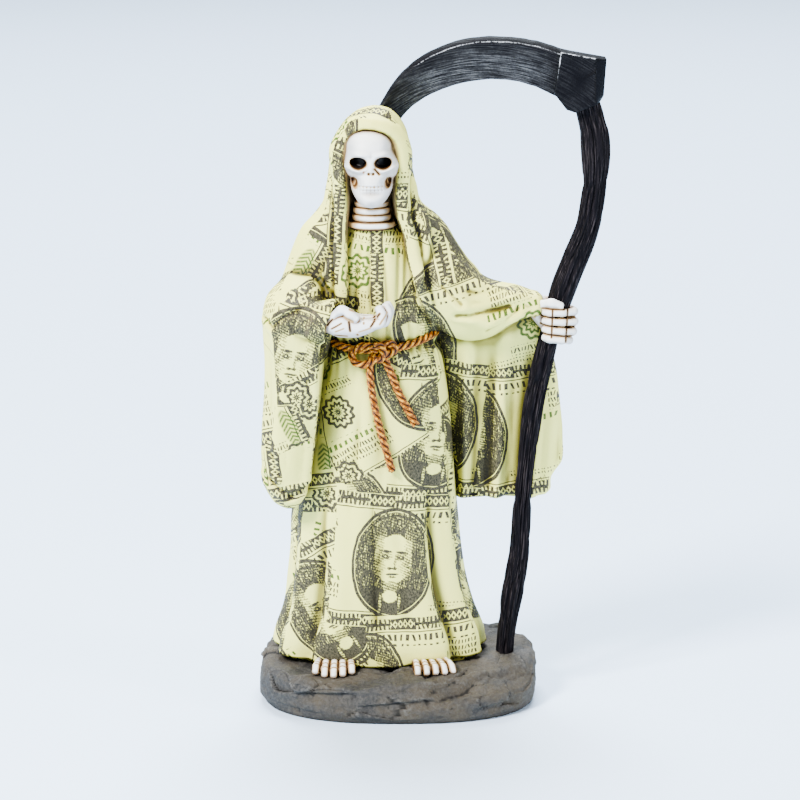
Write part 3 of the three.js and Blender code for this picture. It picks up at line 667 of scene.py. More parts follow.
def crossLoft(rows, columns, levels, power, dip=None):
    # crossRings as a closed shell; dip(x, y) lowers the top
    x, y, z, c, s = crossRings(rows, columns, levels, power)
    if dip:
        z = z - dip(x, y) * ease(0.0, 0.6, np.sin(around(columns)))
    return ringShell(x, y, z)


def cupDip(x, y):
    # hollow of the palm, with four shallow furrows toward the fingers
    hollow = 3.4 * bump(np.hypot((x + 13.5) / 6.5, (y + 24.6) / 4.6), 0, 1)
    return hollow + 0.35 * np.cos((y + 29) * 2 * np.pi / 2.8) * ease(-16, -9, x)


def makeHands():
    # a bone tube for each finger and thumb, and a loft for each palm
    parts = [boneTube(joints, hands["boneRadius"]) for joints in hands["cupped"]]
    parts.append(crossLoft(hands["palm"], 110, 90, 2.4, cupDip))
    for z, reach, drop in hands["fistLevels"]:
        path = [(60 + reach, 1.6, z - drop), (60.5 + reach, -3.4, z - drop), (56.6, -6.5, z - drop * 0.6),
                (52.6, -6.9, z - drop * 0.25), (49.8, -5.4, z + 0.2)]
        parts.append(boneTube(path, hands["fistRadius"], 90))
    parts.append(boneTube([(48.4, -2.6, 139.6), (49.4, -5, 142.4), (53, -6.8, 143.4), (57.2, -6.6, 142)], 1.7, 80))
    parts.append(crossLoft(hands["fistPalm"], 90, 80, 2.4))
    return joinShells(parts)


def toeEnds(foot, index):
    # x of a toe's root and tip: 2.6 mm apart at the root, fanned by the foot's turn
    middle, turn, _ = foot
    spread = (index - 2) * 3
    root = middle + spread * 0.86
    return root, root + math.sin(turn + (index - 2) * 0.07) * 6 + spread * 0.08


def makeToes():
    # an upper tube that bends down to the rock at each toe, over a lower one that fills under it
    parts = []
    for foot in (feet["left"], feet["right"]):
        for index, size in enumerate(foot[2]):
            rootX, tipX = toeEnds(foot, index)
            tipY, midX = -20.4 - size, (rootX + tipX) / 2
            ground = float(rockTop(tipX, tipY))
            upper = [(rootX, -14.4, 17.4), (midX, -19.6, 17.0),
                     ((midX + tipX) / 2, (tipY - 19.6) / 2, ground + 2.9), (tipX, tipY, ground + 1.0)]
            lower = [(rootX, -13, 14.2), (midX, -19.6, 14.4), (tipX, tipY + 1.8, ground + 0.6)]
            parts += [boneTube(upper, feet["radius"], 64, 0.8), boneTube(lower, 1.6, 50, 0.8)]
    return joinShells(parts)


handsPiece = castOver(meshPiece("hands", makeHands()), 0.28, 2)
print("hands done", len(handsPiece.data.polygons))

# rope belt
rope = {
    "strandRadius": 0.68, "twistRadius": 0.72, "pitch": 8.2, "strands": 3,
    "band": [(-25.2, 130.4), (-22.6, 129.8), (-18.5, 129), (-13.3, 128.7), (-7, 128.8), (0.5, 129.7),
             (5.7, 130.8), (10.6, 132.2), (13, 132.8)],
    "ends": [[(-7.6, 128.8), (-9.7, 124.4), (-9.5, 116.7), (-7.1, 104.3), (-4.7, 95.4), (-2.2, 86.4)],
             [(-6.4, 128.6), (-3, 122), (-0.2, 115), (3.4, 107.6), (6, 102.4)]],
    "loops": [[(-7.0, 128.6), (-9.6, 130.3), (-13.2, 130.0), (-15.8, 127.9), (-15.6, 125.2), (-12.8, 123.9),
               (-9.6, 124.9), (-7.4, 127.2)],
              [(-6.4, 129.4), (-4.6, 131.2), (-2.0, 131.0), (-1.6, 128.9), (-4.2, 127.5), (-6.6, 127.8)]],
    "knot": [(-8.4, 131), (-6.2, 130.6), (-5.2, 128.6), (-6.2, 126.4), (-8.2, 126.2)],
}


def tunicFront(x, z):
    # depth of the tunic's front at a place seen from the front
    left, right, front, back = smoothRows(tunic["rows"], np.atleast_1d(float(z)))[0]
    across = min(1.0, abs((x - (left + right) / 2) / ((right - left) / 2)))
    return (front + back) / 2 - math.sqrt(max(0.0, 1 - across**2.1)) * (back - front) / 2


def ropeAlong(line, stand, count):
    # strands wound round the path: p + twist (u cos w - v sin w), w growing with length
    path, at = smoothPath([(x, tunicFront(x, z) - stand, z) for x, z in line], count)
    u, v = pathFrames(path, np.array((0.1, -1.0, 0.15)))
    shells = []
    for k in range(rope["strands"]):
        w = (at / rope["pitch"] + k / rope["strands"]) * 2 * np.pi
        strand = path + rope["twistRadius"] * (u * np.cos(w)[:, None] - v * np.sin(w)[:, None])
        shell = tube(strand, rope["strandRadius"], 14)
        rings = np.linalg.norm(shell[0][:-2].reshape(count, -1, 3) - path[:, None, :], axis=2)
        ropeDepths.append(np.append(rings.ravel() / (rope["twistRadius"] + rope["strandRadius"]), [1, 1]))
        shells.append(shell)
    return shells


ropeDepths = []
ropeShells = ropeAlong(rope["band"], 0.9, 150)
for line in rope["ends"]:
    ropeShells += ropeAlong(line, 1.5, 130)
ropeShells += ropeAlong(rope["loops"][0], 2.6, 100) + ropeAlong(rope["loops"][1], 2.4, 60)
ropeShells += ropeAlong(rope["knot"], 3.7, 50)
ropePiece = meshPiece("ropeBelt", joinShells(ropeShells))
keepValues(ropePiece, "cord", np.concatenate(ropeDepths))
print("rope done", len(ropePiece.data.polygons))

# scythe
scythe = {
    "handle": [  # height, x, half width
        (8.6, 37.2, 3.2), (13.2, 37.6, 3.2), (26.5, 38.9, 3.4), (40, 40.8, 4), (54, 42.7, 3.7), (71, 43.7, 3.4),
        (87.5, 45.2, 3.5), (104, 47.2, 3.9), (124, 51, 3.9), (137, 54.4, 4.2), (148.4, 57.7, 4.7), (161, 62.4, 5),
        (169.5, 65.4, 4.6), (178, 67, 4.3), (186.3, 67.9, 4.4), (195, 68, 5.1), (203, 67.2, 5.2), (209, 65.6, 5),
        (218, 63.6, 4.8)],
    "middleY": -1,
    "blade": [  # station, upper x, upper z, lower x, lower z, middle y
        (0, 60, 230, 59, 212.4, -1), (1, 55.4, 231, 54, 214.6, -1), (2, 47, 233.6, 45.5, 218.4, -0.6),
        (3, 35, 235, 35.5, 220.3, 0), (4, 24, 234.3, 26.5, 219.8, 1.2), (5, 14, 231, 19, 217.9, 3),
        (6, 5.5, 226, 12.5, 215.2, 5), (7, -0.5, 219.9, 7.3, 211.9, 7.6), (8, -5, 212.9, 3.2, 208.2, 11),
        (9, -8.6, 205.4, -0.6, 203, 15.6), (10, -11, 199.4, -6.6, 197.6, 18.4), (11, -11.8, 194.4, -10.6, 194, 19.6)],
    "bladeProfile": [(0, 0, -0.5), (0.2, 0.25, -1.2), (0.45, 0.55, -2.1), (0.66, 0.8, -2.5), (0.74, 0.885, -2.6),
                     (0.78, 0.91, -2.3), (0.96, 0.995, 0.2), (1.0, 1, 1.2), (1.06, 0.97, 2.0), (1.5, 0.4, 1.5),
                     (1.95, 0, 0.5)],
    "head": [(57.4, 210.6), (60.4, 209.6), (68.8, 212.8), (70.2, 215.2), (71, 227.6), (55.2, 230.4), (53.2, 216)],
    # rings of the head from front to back: y from the middle, inset, how much painted highlight and rubbed wear,
    # right limit
    "headRings": [(-6, 4.2, 0, 67.2), (-6, 1.2, 0, 67.2), (-6, 0.5, 0.1, 67.2), (-5.96, 0.24, 1, 67.3),
                  (-5.7, 0.04, 0.8, 67.5), (-5.3, 0, 0.05, 67.9), (-2.6, 0, 0.1, 71), (-2, 0, 0, 71),
                  (5.3, 0, 0, 71), (5.8, 0.1, 0.3, 71), (6, 0.4, 0, 71), (6, 4.2, 0, 71)],
}


def makeHandle():
    # rings up the handle; wood grooves are ridged noise stretched along the length
    z = np.linspace(8.6, 218, 320)[:, None]
    x, half = tracks(scythe["handle"], z[:, 0])
    a = around(120)
    grooves = 1 - 2 * np.abs(uneven(np.sin(a) * 4, np.cos(a) * 4, z * 0.07, 21))
    fine = 1 - 2 * np.abs(uneven(np.sin(a) * 8.8, np.cos(a) * 8.8, z * 0.098, 22))
    cut = -0.95 * grooves**5 - 0.55 * fine**4 + 0.7 * uneven(z * 0.05, a, 0, 23)
    rx, ry = half + cut, 4.0 * half / 4.3 + cut
    return ringShell(x + np.sin(a) * rx, scythe["middleY"] - np.cos(a) * ry, z)


def shellWithMarks(x, y, z, *marks):
    # the shell turned to face outwards, then a value for each point of every mark, 0 at the poles
    spread = np.broadcast_arrays(x, y, z, *marks)
    values = [np.append(part[::-1].ravel(), [0, 0]) for part in spread[3:]]
    return ringShell(*[part[::-1] for part in spread[:3]]), *values


def makeBlade():
    # a profile with a flat spine carried along the arch, with hammered dents; also, for each
    # point, how much painted highlight and rubbed wear its edge gets and how much silver is brushed on
    t = np.linspace(0, 11, 280)[:, None]
    s = np.linspace(0, 1.95, 84)[None, :]
    ux, uz, lx, lz, my = tracks(scythe["blade"], t[:, 0])
    share, offset = smoothRows(scythe["bladeProfile"], s[0]).T
    x, z = lx + (ux - lx) * share, lz + (uz - lz) * share
    y = my + offset * (1 - 0.7 * ease(7, 11, t)) * (1 + 0.12 * uneven(x * 0.3, z * 0.6, 0, 31))
    # painted highlight with rubbed wear along the front top edge, and fainter on the cutting edge
    edge = bump(s, 0.758, 0.016) * ease(0.2, 1.0, t) * ease(6.4, 5.6, t) * (0.73 + 0.9 * uneven(x * 0.35, 0, 0, 33))
    silver = (1 - 0.8 * ease(0.4, 0.66, s)) * ease(0.4, 2.4, t) * (1 - 0.75 * ease(6, 9, t)) + 0.25
    return shellWithMarks(x, y, z + 0.35 * uneven(x * 0.5, 0, y * 0.2, 32),
                          np.maximum(edge, 0.35 * bump(s, 0.0, 0.03)), np.where(s > 0.78, 0.22, silver))


def makeHead():
    # the outline carried back with crisp edges; its right side slopes away from the front
    closed = np.array(scythe["head"] + scythe["head"][:1])
    length = np.concatenate([[0], np.cumsum(np.linalg.norm(np.diff(closed, axis=0), axis=1))])
    at = np.linspace(0, length[-1], 180, endpoint=False)
    ring = np.stack([np.interp(at, length, closed[:, k]) for k in range(2)], -1)
    flat = ring - ring.mean(0)
    y, inset, highlightAndRub, right = np.array(scythe["headRings"]).T[..., None]
    inner = ring.mean(0) + flat * (1 - inset / np.linalg.norm(flat, axis=1))[..., None]
    x = np.minimum(inner[..., 0], right)
    # painted highlight with rubbed wear on the left edge and the top
    leftEdge = 0.45 * ease(56.4, 54.6, ring[:, 0]) * (0.3 + 0.7 * ease(214, 226, ring[:, 1]))
    spot = np.maximum(leftEdge, 0.8 * ease(224, 227, ring[:, 1]) * (ring[:, 0] < 67.4))
    edge = highlightAndRub * (0.8 + 0.9 * uneven(ring[:, 0] * 0.7, ring[:, 1] * 0.7, 0, 34)) * np.maximum(spot, 0.25)
    return shellWithMarks(x, y + scythe["middleY"], inner[..., 1], edge, 0.2 * ease(67.6, 66.8, x))


handlePiece = meshPiece("scytheHandle", makeHandle())
bladeParts = [makeBlade(), makeHead()]
bladePiece = meshPiece("scytheBlade", joinShells([part[0] for part in bladeParts]))
print("scythe done")

# rock base
rock = {"halfWidth": 49, "halfDepth": 36, "topMiddle": 14.8, "topSlope": 0.09, "facets": 40, "seed": 4,
        "shelf": [(-49, -38), (-24, -35), (9, -31.5), (21, -27), (31, -19), (49, -9)], "shelfDrop": 1.5,
        # overhanging ledges on the front: x and height of both ends, depth
        "ledges": [(-36, 9.6, -13, 11.4, 1.5), (-14, 6.6, 13, 9.2, 0.9), (8, 9.0, 33, 10.8, 1.3),
                   (26, 4.6, 42, 6.4, 0.8), (-44, 4.2, -26, 3.2, 0.7)]}


def rockTop(x, y):
    # height of the top: a slope with waves, less a ledge, the front shelf and a notch
    ledge = 0.8 * np.tanh((x * 0.5 - y * 0.9 - 34) * 0.5)
    waves = 0.7 * np.sin(x * 0.17 + 1) * np.cos(y * 0.21) + 0.4 * np.sin(x * 0.41 - y * 0.33)
    shelf = np.interp(x, *np.array(rock["shelf"]).T)
    drop = rock["shelfDrop"] * ease(0.6, -1.4, y - shelf) * ease(-34, -28, x)
    notch = 1.5 * bump(stretch(x, y, (-34, -31), (-17, -27.5)), 0, 0.8)
    return rock["topMiddle"] + rock["topSlope"] * y + waves - ledge - drop - notch


def makeRock():
    # rings up the sides and in across the top, chipped by tilted facets and fine grain
    columns = 300
    a = np.linspace(0, 2 * np.pi, columns, endpoint=False)
    side = [(0, 0.972), (0.04, 0.982), (0.11, 0.99), (0.21, 0.996), (0.38, 1), (0.6, 1), (0.8, 0.996), (1, 0.985)]
    height = np.linspace(0, 1, 76)
    share = np.concatenate([np.interp(height, *np.array(side).T), np.linspace(0.983, 0.93, 20),
                            np.linspace(0.925, 0.02, 118)])[:, None]
    onSide = np.arange(len(share))[:, None] < len(height)
    level = np.append(height, np.ones(len(share) - len(height)))[:, None]
    x = rock["halfWidth"] * share * squared(np.sin(a), 2.45)
    y = -rock["halfDepth"] * share * squared(np.cos(a), 2.45)
    top = rockTop(x, y)
    rounding = 1.7 * ease(0.93, 0.992, np.where(onSide, 0.985, share)) ** 2
    z = level * (np.where(onSide, top[len(height) - 1], top) - rounding)
    grow = ease(0, 3, z)
    maker = np.random.default_rng(rock["seed"])
    seeds = maker.uniform((-50, -38, 0), (50, 38, 18), (rock["facets"] * 3, 3))
    tilt = maker.normal(0, 0.065, (rock["facets"] * 3, 3))
    lift = maker.uniform(-0.35, 0.35, rock["facets"] * 3)
    p = np.stack([x, y, z], -1)
    warped = p + 4 * (valueNoise(p, 9.0, 41)[..., None] - 0.5)
    flat = warped.reshape(-1, 3)
    nearest = ((flat[:, None, :] - seeds[None]) ** 2 * (1, 1, 2.5)).sum(-1).argmin(1)
    chip = ((flat - seeds[nearest]) * tilt[nearest]).sum(-1) + lift[nearest]
    chip = chip.reshape(x.shape) * grow
    grain = (valueNoise(p, 2.2, 42) - 0.5) * 0.5 + (valueNoise(p, 0.9, 43) - 0.5) * 0.28
    crack = -0.9 * bump(np.abs(x + 22 - 1.4 * np.sin(y * 0.5) + 0.9 * (y + 34)), 0, 0.6) * ease(-24, -30, y)
    for x0, z0, x1, z1, depth in rock["ledges"]:
        below = z0 + (z1 - z0) * np.clip((x - x0) / (x1 - x0), 0, 1) - z
        span = ease(x0 - 1, x0 + 3, x) * (1 - ease(x1 - 3, x1 + 1, x)) * (y < 0)
        chip = chip - depth * span * ease(-0.1, 0.5, below) * (1 - ease(1.2, 4.5, below))
    onTop = np.where(onSide, 0, ease(0.985, 0.95, share))
    z = z + (chip * 0.9 + grain + crack) * (0.12 + 0.88 * onTop) * grow
    swell = 1 + (0.9 * chip + 1.3 * grain) * (1 - onTop) * grow / np.maximum(np.hypot(x, y), 1)
    return ringShell(np.clip(x * swell, -49.3, 49.3), np.clip(y * swell, -36.3, 36.3), z)


rockPiece = meshPiece("rock", makeRock())
toesPiece = castOver(meshPiece("toes", makeToes()), 0.26, 2)
print("rock and toes done", len(rockPiece.data.polygons), len(toesPiece.data.polygons))


# Hollows and ridges, kept on the mesh for the materials, which place painted shade, washes, wear and dust by them.
def meshEdges(piece):
    return readArray(piece.data.edges, "vertices", 2, np.int32)


def neighbourMean(values, ends):
    # average of each point's neighbours along the edges
    count = len(values)
    total = np.stack([np.bincount(ends[:, 0], values[ends[:, 1], k], count)
                      + np.bincount(ends[:, 1], values[ends[:, 0], k], count) for k in range(values.shape[1])], -1)
    return total / np.maximum(np.bincount(ends.ravel(), minlength=count), 1)[:, None]


def markHollows(piece, fineRounds, broadRounds):
    # (point averaged with its neighbours n times - point) . normal: above 0 in a hollow
    points, normals, ends = readCoords(piece), readNormals(piece), meshEdges(piece)
    soft = points
    for k in range(broadRounds):
        soft = 0.4 * soft + 0.6 * neighbourMean(soft, ends)
        if k + 1 == fineRounds:
            keepValues(piece, "fineHollow", ((soft - points) * normals).sum(1))
    keepValues(piece, "broadHollow", ((soft - points) * normals).sum(1))


def layPrint(piece):
    # flat charts from the front, back, sides and top, picked face by face with the softened
    # normal; a chart's coordinates are millimetres / 100 and the charts lie far apart
    points, normals, ends = readCoords(piece), readNormals(piece), meshEdges(piece)
    for _ in range(30):
        normals = 0.4 * normals + 0.6 * neighbourMean(normals, ends)
    mesh = piece.data
    corners = readArray(mesh.loops, "vertex_index", 1, np.int32)
    sizes = readArray(mesh.polygons, "loop_total", 1, np.int32)
    starts = np.concatenate([[0], np.cumsum(sizes)[:-1]])
    faceNormal = np.add.reduceat(normals[corners], starts, axis=0)
    faceNormal /= np.linalg.norm(faceNormal, axis=1)[:, None] + 1e-9
    nx, ny, nz = faceNormal.T
    pick = np.argmax(np.stack([-ny * 1.15, ny, nx * 0.85, -nx * 0.85, nz * 0.7]), axis=0)
    pick = np.repeat(pick, sizes)
    x, y, z = points[corners].T
    u = np.choose(pick, [x, 300 - x, 600 + y, 900 - y, 1200 + x])
    v = np.choose(pick, [z, z, z, z, y])
    keepMap(piece, "print", np.stack([u, v], -1) / 100)


# Materials. Each method of Wires adds one node and returns its output socket.
class Wires:
    def __init__(self, material):
        self.material, self.tree = material, material.node_tree
        self.shader = self.tree.nodes["Principled BSDF"]

    def put(self, kind, inputs, output=0, **settings):
        node = self.tree.nodes.new(kind)
        for key, value in settings.items():
            setattr(node, key, value)
        for key, value in inputs.items():
            if isinstance(value, bpy.types.NodeSocket):
                self.tree.links.new(value, node.inputs[key])
            else:
                node.inputs[key].default_value = value
        return node.outputs[output]

    def maths(self, operation, a, b=0.0, c=0.0, clamp=False):
        return self.put("ShaderNodeMath", {0: a, 1: b, 2: c}, operation=operation, use_clamp=clamp)

    times = partialmethod(maths, "MULTIPLY")
    plus = partialmethod(maths, "ADD")
    minus = partialmethod(maths, "SUBTRACT")
    scaled = partialmethod(maths, "MULTIPLY_ADD")  # a b + c
    larger = partialmethod(maths, "MAXIMUM")
    under = partialmethod(maths, "LESS_THAN")  # 1 where a < b
    within = partialmethod(maths, "COMPARE")  # 1 where a is at most c from b
    size = partialmethod(maths, "ABSOLUTE")
    sine = partialmethod(maths, "SINE")

    def split(self, vector):
        return self.put("ShaderNodeSeparateXYZ", {0: vector}).node.outputs[:3]

    def join(self, x, y, z=0.0):
        return self.put("ShaderNodeCombineXYZ", {0: x, 1: y, 2: z})

    def vector(self, operation, a, b=(0, 0, 0), c=(0, 0, 0)):
        inputs = {0: a, 1: b}
        if operation == "MULTIPLY_ADD":
            inputs[2] = c
        output = 1 if operation == "LENGTH" else 0
        return self.put("ShaderNodeVectorMath", inputs, output, operation=operation)

    def range(self, value, low, high, outLow=0.0, outHigh=1.0):
        # eased from outLow at low to outHigh at high; a word names a value kept on the mesh
        value = self.stored(value) if isinstance(value, str) else value
        return self.put("ShaderNodeMapRange", {0: value, 1: low, 2: high, 3: outLow, 4: outHigh},
                        interpolation_type="SMOOTHSTEP")

    def openness(self, distance):
        # 1 in the open, toward 0 where other surfaces stand near
        return self.put("ShaderNodeAmbientOcclusion", {"Distance": distance}, 1, samples=6)

    def blend(self, factor, a, b):
        return self.put("ShaderNodeMix", {0: factor, 2: a, 3: b}, 0, data_type="FLOAT")

    def paint(self, factor, a, b, mode="MIX"):
        a = (*a, 1) if isinstance(a, tuple) else a
        b = (*b, 1) if isinstance(b, tuple) else b
        return self.put("ShaderNodeMix", {0: factor, 6: a, 7: b}, 2, data_type="RGBA", blend_type=mode)

    def place(self, factor, a, b):
        return self.put("ShaderNodeMix", {0: factor, 4: a, 5: b}, 1, data_type="VECTOR")

    def noise(self, where, scale, detail=2.0, rough=0.5, output=0):
        return self.put("ShaderNodeTexNoise", {"Vector": where, "Scale": scale, "Detail": detail, "Roughness": rough},
                        output)

    def stored(self, name):
        return self.put("ShaderNodeAttribute", {}, 2, attribute_name=name)

    def inPlace(self):
        # object coordinates in millimetres
        return self.vector("MULTIPLY", self.put("ShaderNodeTexCoord", {}, 3), (1000, 1000, 1000))

    def fitted(self, where, x, y, halfWidth, halfHeight):
        # place in a box: 0 at its middle, 1 at its edges
        return self.vector("MULTIPLY_ADD", where, (1 / halfWidth, 1 / halfHeight, 0),
                           (-x / halfWidth, -y / halfHeight, 0))

    def disc(self, *place):
        # 0 at the centre, 1 on the ellipse
        return self.vector("LENGTH", self.fitted(*place))

    def filled(self, distance, soft):
        # 1 inside the ellipse, 0 outside, with a soft edge
        return self.scaled(distance, -1 / soft, 1 / soft + 0.5, clamp=True)

    def boxed(self, *place):
        # 1 inside the rectangle
        across, up, _ = self.split(self.vector("ABSOLUTE", self.fitted(*place)))
        return self.under(self.larger(across, up), 1.0)

    def finish(self, colour, rough, height, strength, distance):
        # joins colour, roughness and a bump to the shader
        raised = self.put("ShaderNodeBump", {"Height": height, "Strength": strength, "Distance": distance})
        for name, value in (("Base Color", colour), ("Roughness", rough), ("Normal", raised)):
            self.tree.links.new(value, self.shader.inputs[name])
        return self.material


def newMaterial(name, roughness, specular=0.5):
    # paint with even values on the shader's own sockets
    material = bpy.data.materials.new(name)
    material.use_nodes = True
    wires = Wires(material)
    wires.shader.inputs["Roughness"].default_value = roughness
    wires.shader.inputs["Specular IOR Level"].default_value = specular
    return wires


def dress(piece, material, node):
    # one material, its slot, the solid it stands for and the body it rides on
    piece.data.materials.clear()
    piece.data.materials.append(material)
    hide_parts(node)
    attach(piece, "root")


# Robe print: pieces of made-up paper notes, 118 x 50 mm each, laid over one another.
# Places and sizes are millimetres; a tone runs from 0, bare paper, to 1, full ink.
note = {
    "halfLength": 59, "halfHeight": 25, "tornSize": 31,
    "portraitAt": (-12, -0.5), "portraitSize": (13.4, 18.4),
    # x, y, half width, half height, softness, tone, mirrored to both sides
    "bust": [
        (0, 2.8, 8.6, 10.2, 0.14, 0.97, False), (6.6, -3.0, 2.8, 6.4, 0.3, 0.95, True),
        (5.4, 8.2, 2.6, 3.4, 0.7, 0.6, True), (0, -20.6, 13.6, 10.6, 0.07, 0.97, False),
        (0, -8.4, 2.9, 3.2, 0.3, 0.5, False), (0, -12.2, 2.7, 2.1, 0.3, 0.1, False),
        (3.4, -14.4, 0.5, 3.4, 0.6, 0.4, True), (0, 1.4, 6.4, 9.1, 0.07, 0.06, False),
        (5.1, -1.4, 1.6, 5.4, 0.9, 0.5, True), (4.9, 5.8, 1.4, 3.4, 0.8, 0.34, True),
        (3.5, -1.9, 1.5, 1.2, 1.0, 0.3, True), (2.7, 2.2, 2.1, 1.5, 0.8, 0.46, True),
        (2.8, 4.0, 2.0, 0.5, 0.6, 0.95, True), (2.7, 1.9, 1.2, 0.62, 0.35, 1.0, True),
        (2.75, 2.1, 0.3, 0.25, 0.4, 0.1, True), (0.95, 0.3, 0.45, 2.4, 0.9, 0.5, False),
        (0.85, -2.1, 0.8, 0.45, 0.6, 0.92, True), (0, -4.2, 2.2, 0.4, 0.5, 1.0, False),
        (0, -5.2, 1.5, 0.42, 0.8, 0.55, False), (0, -7.2, 2.2, 0.6, 1.0, 0.4, False)],
    # x, y, half width, half height of the places that rows of strokes fill
    "smallRows": [(32, 9.5, 15, 3.4), (-42, -11.5, 12, 2.8), (18, -15.6, 16, 1.0), (34, -12.2, 14, 1.8),
                  (-43, 12, 11, 1.8)],
    "largeRows": [(14, 15.6, 34, 2.1)],
    "greenRows": [(34, 3.6, 19, 1.6), (-42, -6.4, 12, 1.6)],
    "greySeal": (-42, 3.2, 6.0), "greenSeal": (30, -4.0, 6.2),
    "leaf": (51, -6.5, 2.7, 6.6),
}
# notes in front, undermost first: x, z and turn, the note's own point that lies there, and the
# half sizes of the part that shows
frontNotes = [
    (-6, 156, -7, 38, -3, 15, 24), (14, 142, -27, -12, 0, 21, 25), (-36, 127, -11, -12, 0, 19, 25),
    (32, 95, 5, -4, 0, 34, 25), (38, 138, 15, 22, 1, 36, 18), (13.5, 97, -7, -12, -1, 15.5, 25),
    (-15, 108, 30, -36, 2, 17, 22), (-41, 89, 9, 36, -3, 17, 22), (-25, 34, 34, -12, -1, 21, 25),
    (2, 53, -5, -8, 0, 25, 24), (12, 25, 3, 12, 15, 23, 10),
    # strips of frame down the hood's edges, the chest and the left sleeve
    (-21.4, 169, 85, 0, -21.6, 17, 3.1), (-7.4, 158, 91, 12, -21.6, 14, 2.5), (13.4, 166, 103, -20, -21.6, 15, 3.1),
    (-43.6, 98, 94, 10, -21.6, 24, 3.1), (-33.5, 158, -28, 50, -6, 7, 10),
    (-36, 80, 12, -8, 21.6, 14, 3.4), (-38.5, 103, 24, 50, -6.5, 6.4, 7.4),
    # over the crown, then the back from the shoulders down
    (1189, -4, 18, -30, 19, 20, 9), (1195, 14, -12, 20, -2, 26, 22),
    (306, 168, 12, -12, 0, 22, 25), (292, 128, -20, -4, 0, 30, 24), (322, 112, 8, 20, -2, 26, 24),
    (300, 84, 16, -12, 0, 26, 24), (284, 46, -8, -12, 0, 22, 25), (318, 50, 24, 10, -3, 26, 22)]


def strokeRow(wires, u, v, cell, pitch, seed):
    # upright and leaning dashes: one in each cell, its lean and length from a random value
    across = wires.times(u, 1 / cell)
    down = wires.times(v, 1 / pitch)
    key = wires.join(wires.maths("FLOOR", across), wires.maths("FLOOR", down), seed)
    first, second, third = wires.split(wires.put("ShaderNodeTexWhiteNoise", {"Vector": key}, 1))
    height = wires.minus(wires.maths("FRACT", down), 0.5)
    lean = wires.times(wires.scaled(first, 1.5, -0.75), height)
    place = wires.plus(wires.minus(wires.maths("FRACT", across), 0.5), lean)
    stroke = wires.under(wires.size(place), wires.scaled(second, 0.14, 0.16))
    reach = wires.scaled(third, 0.12, 0.28)
    return wires.times(stroke, wires.under(wires.size(height), reach))


def anyBox(wires, where, boxes):
    # 1 inside any of the rectangles
    total = wires.boxed(where, *boxes[0])
    for box in boxes[1:]:
        total = wires.larger(total, wires.boxed(where, *box))
    return total


def rosette(wires, where, x, y, radius, petals):
    # rings and petals: sin(petals * angle) bends the rings, which fade past the rim
    local = wires.vector("SUBTRACT", where, (x, y, 0))
    across, up, _ = wires.split(local)
    turn = wires.maths("ARCTAN2", up, across)
    reach = wires.times(wires.vector("LENGTH", local), 1 / radius)
    wave = wires.times(wires.sine(wires.times(turn, petals)), 0.07)
    rings = wires.sine(wires.times(wires.plus(reach, wave), 17.0))
    tone = wires.scaled(rings, 1.1, 0.6, clamp=True)
    inside = wires.under(reach, 1.0)
    return wires.times(tone, inside), inside


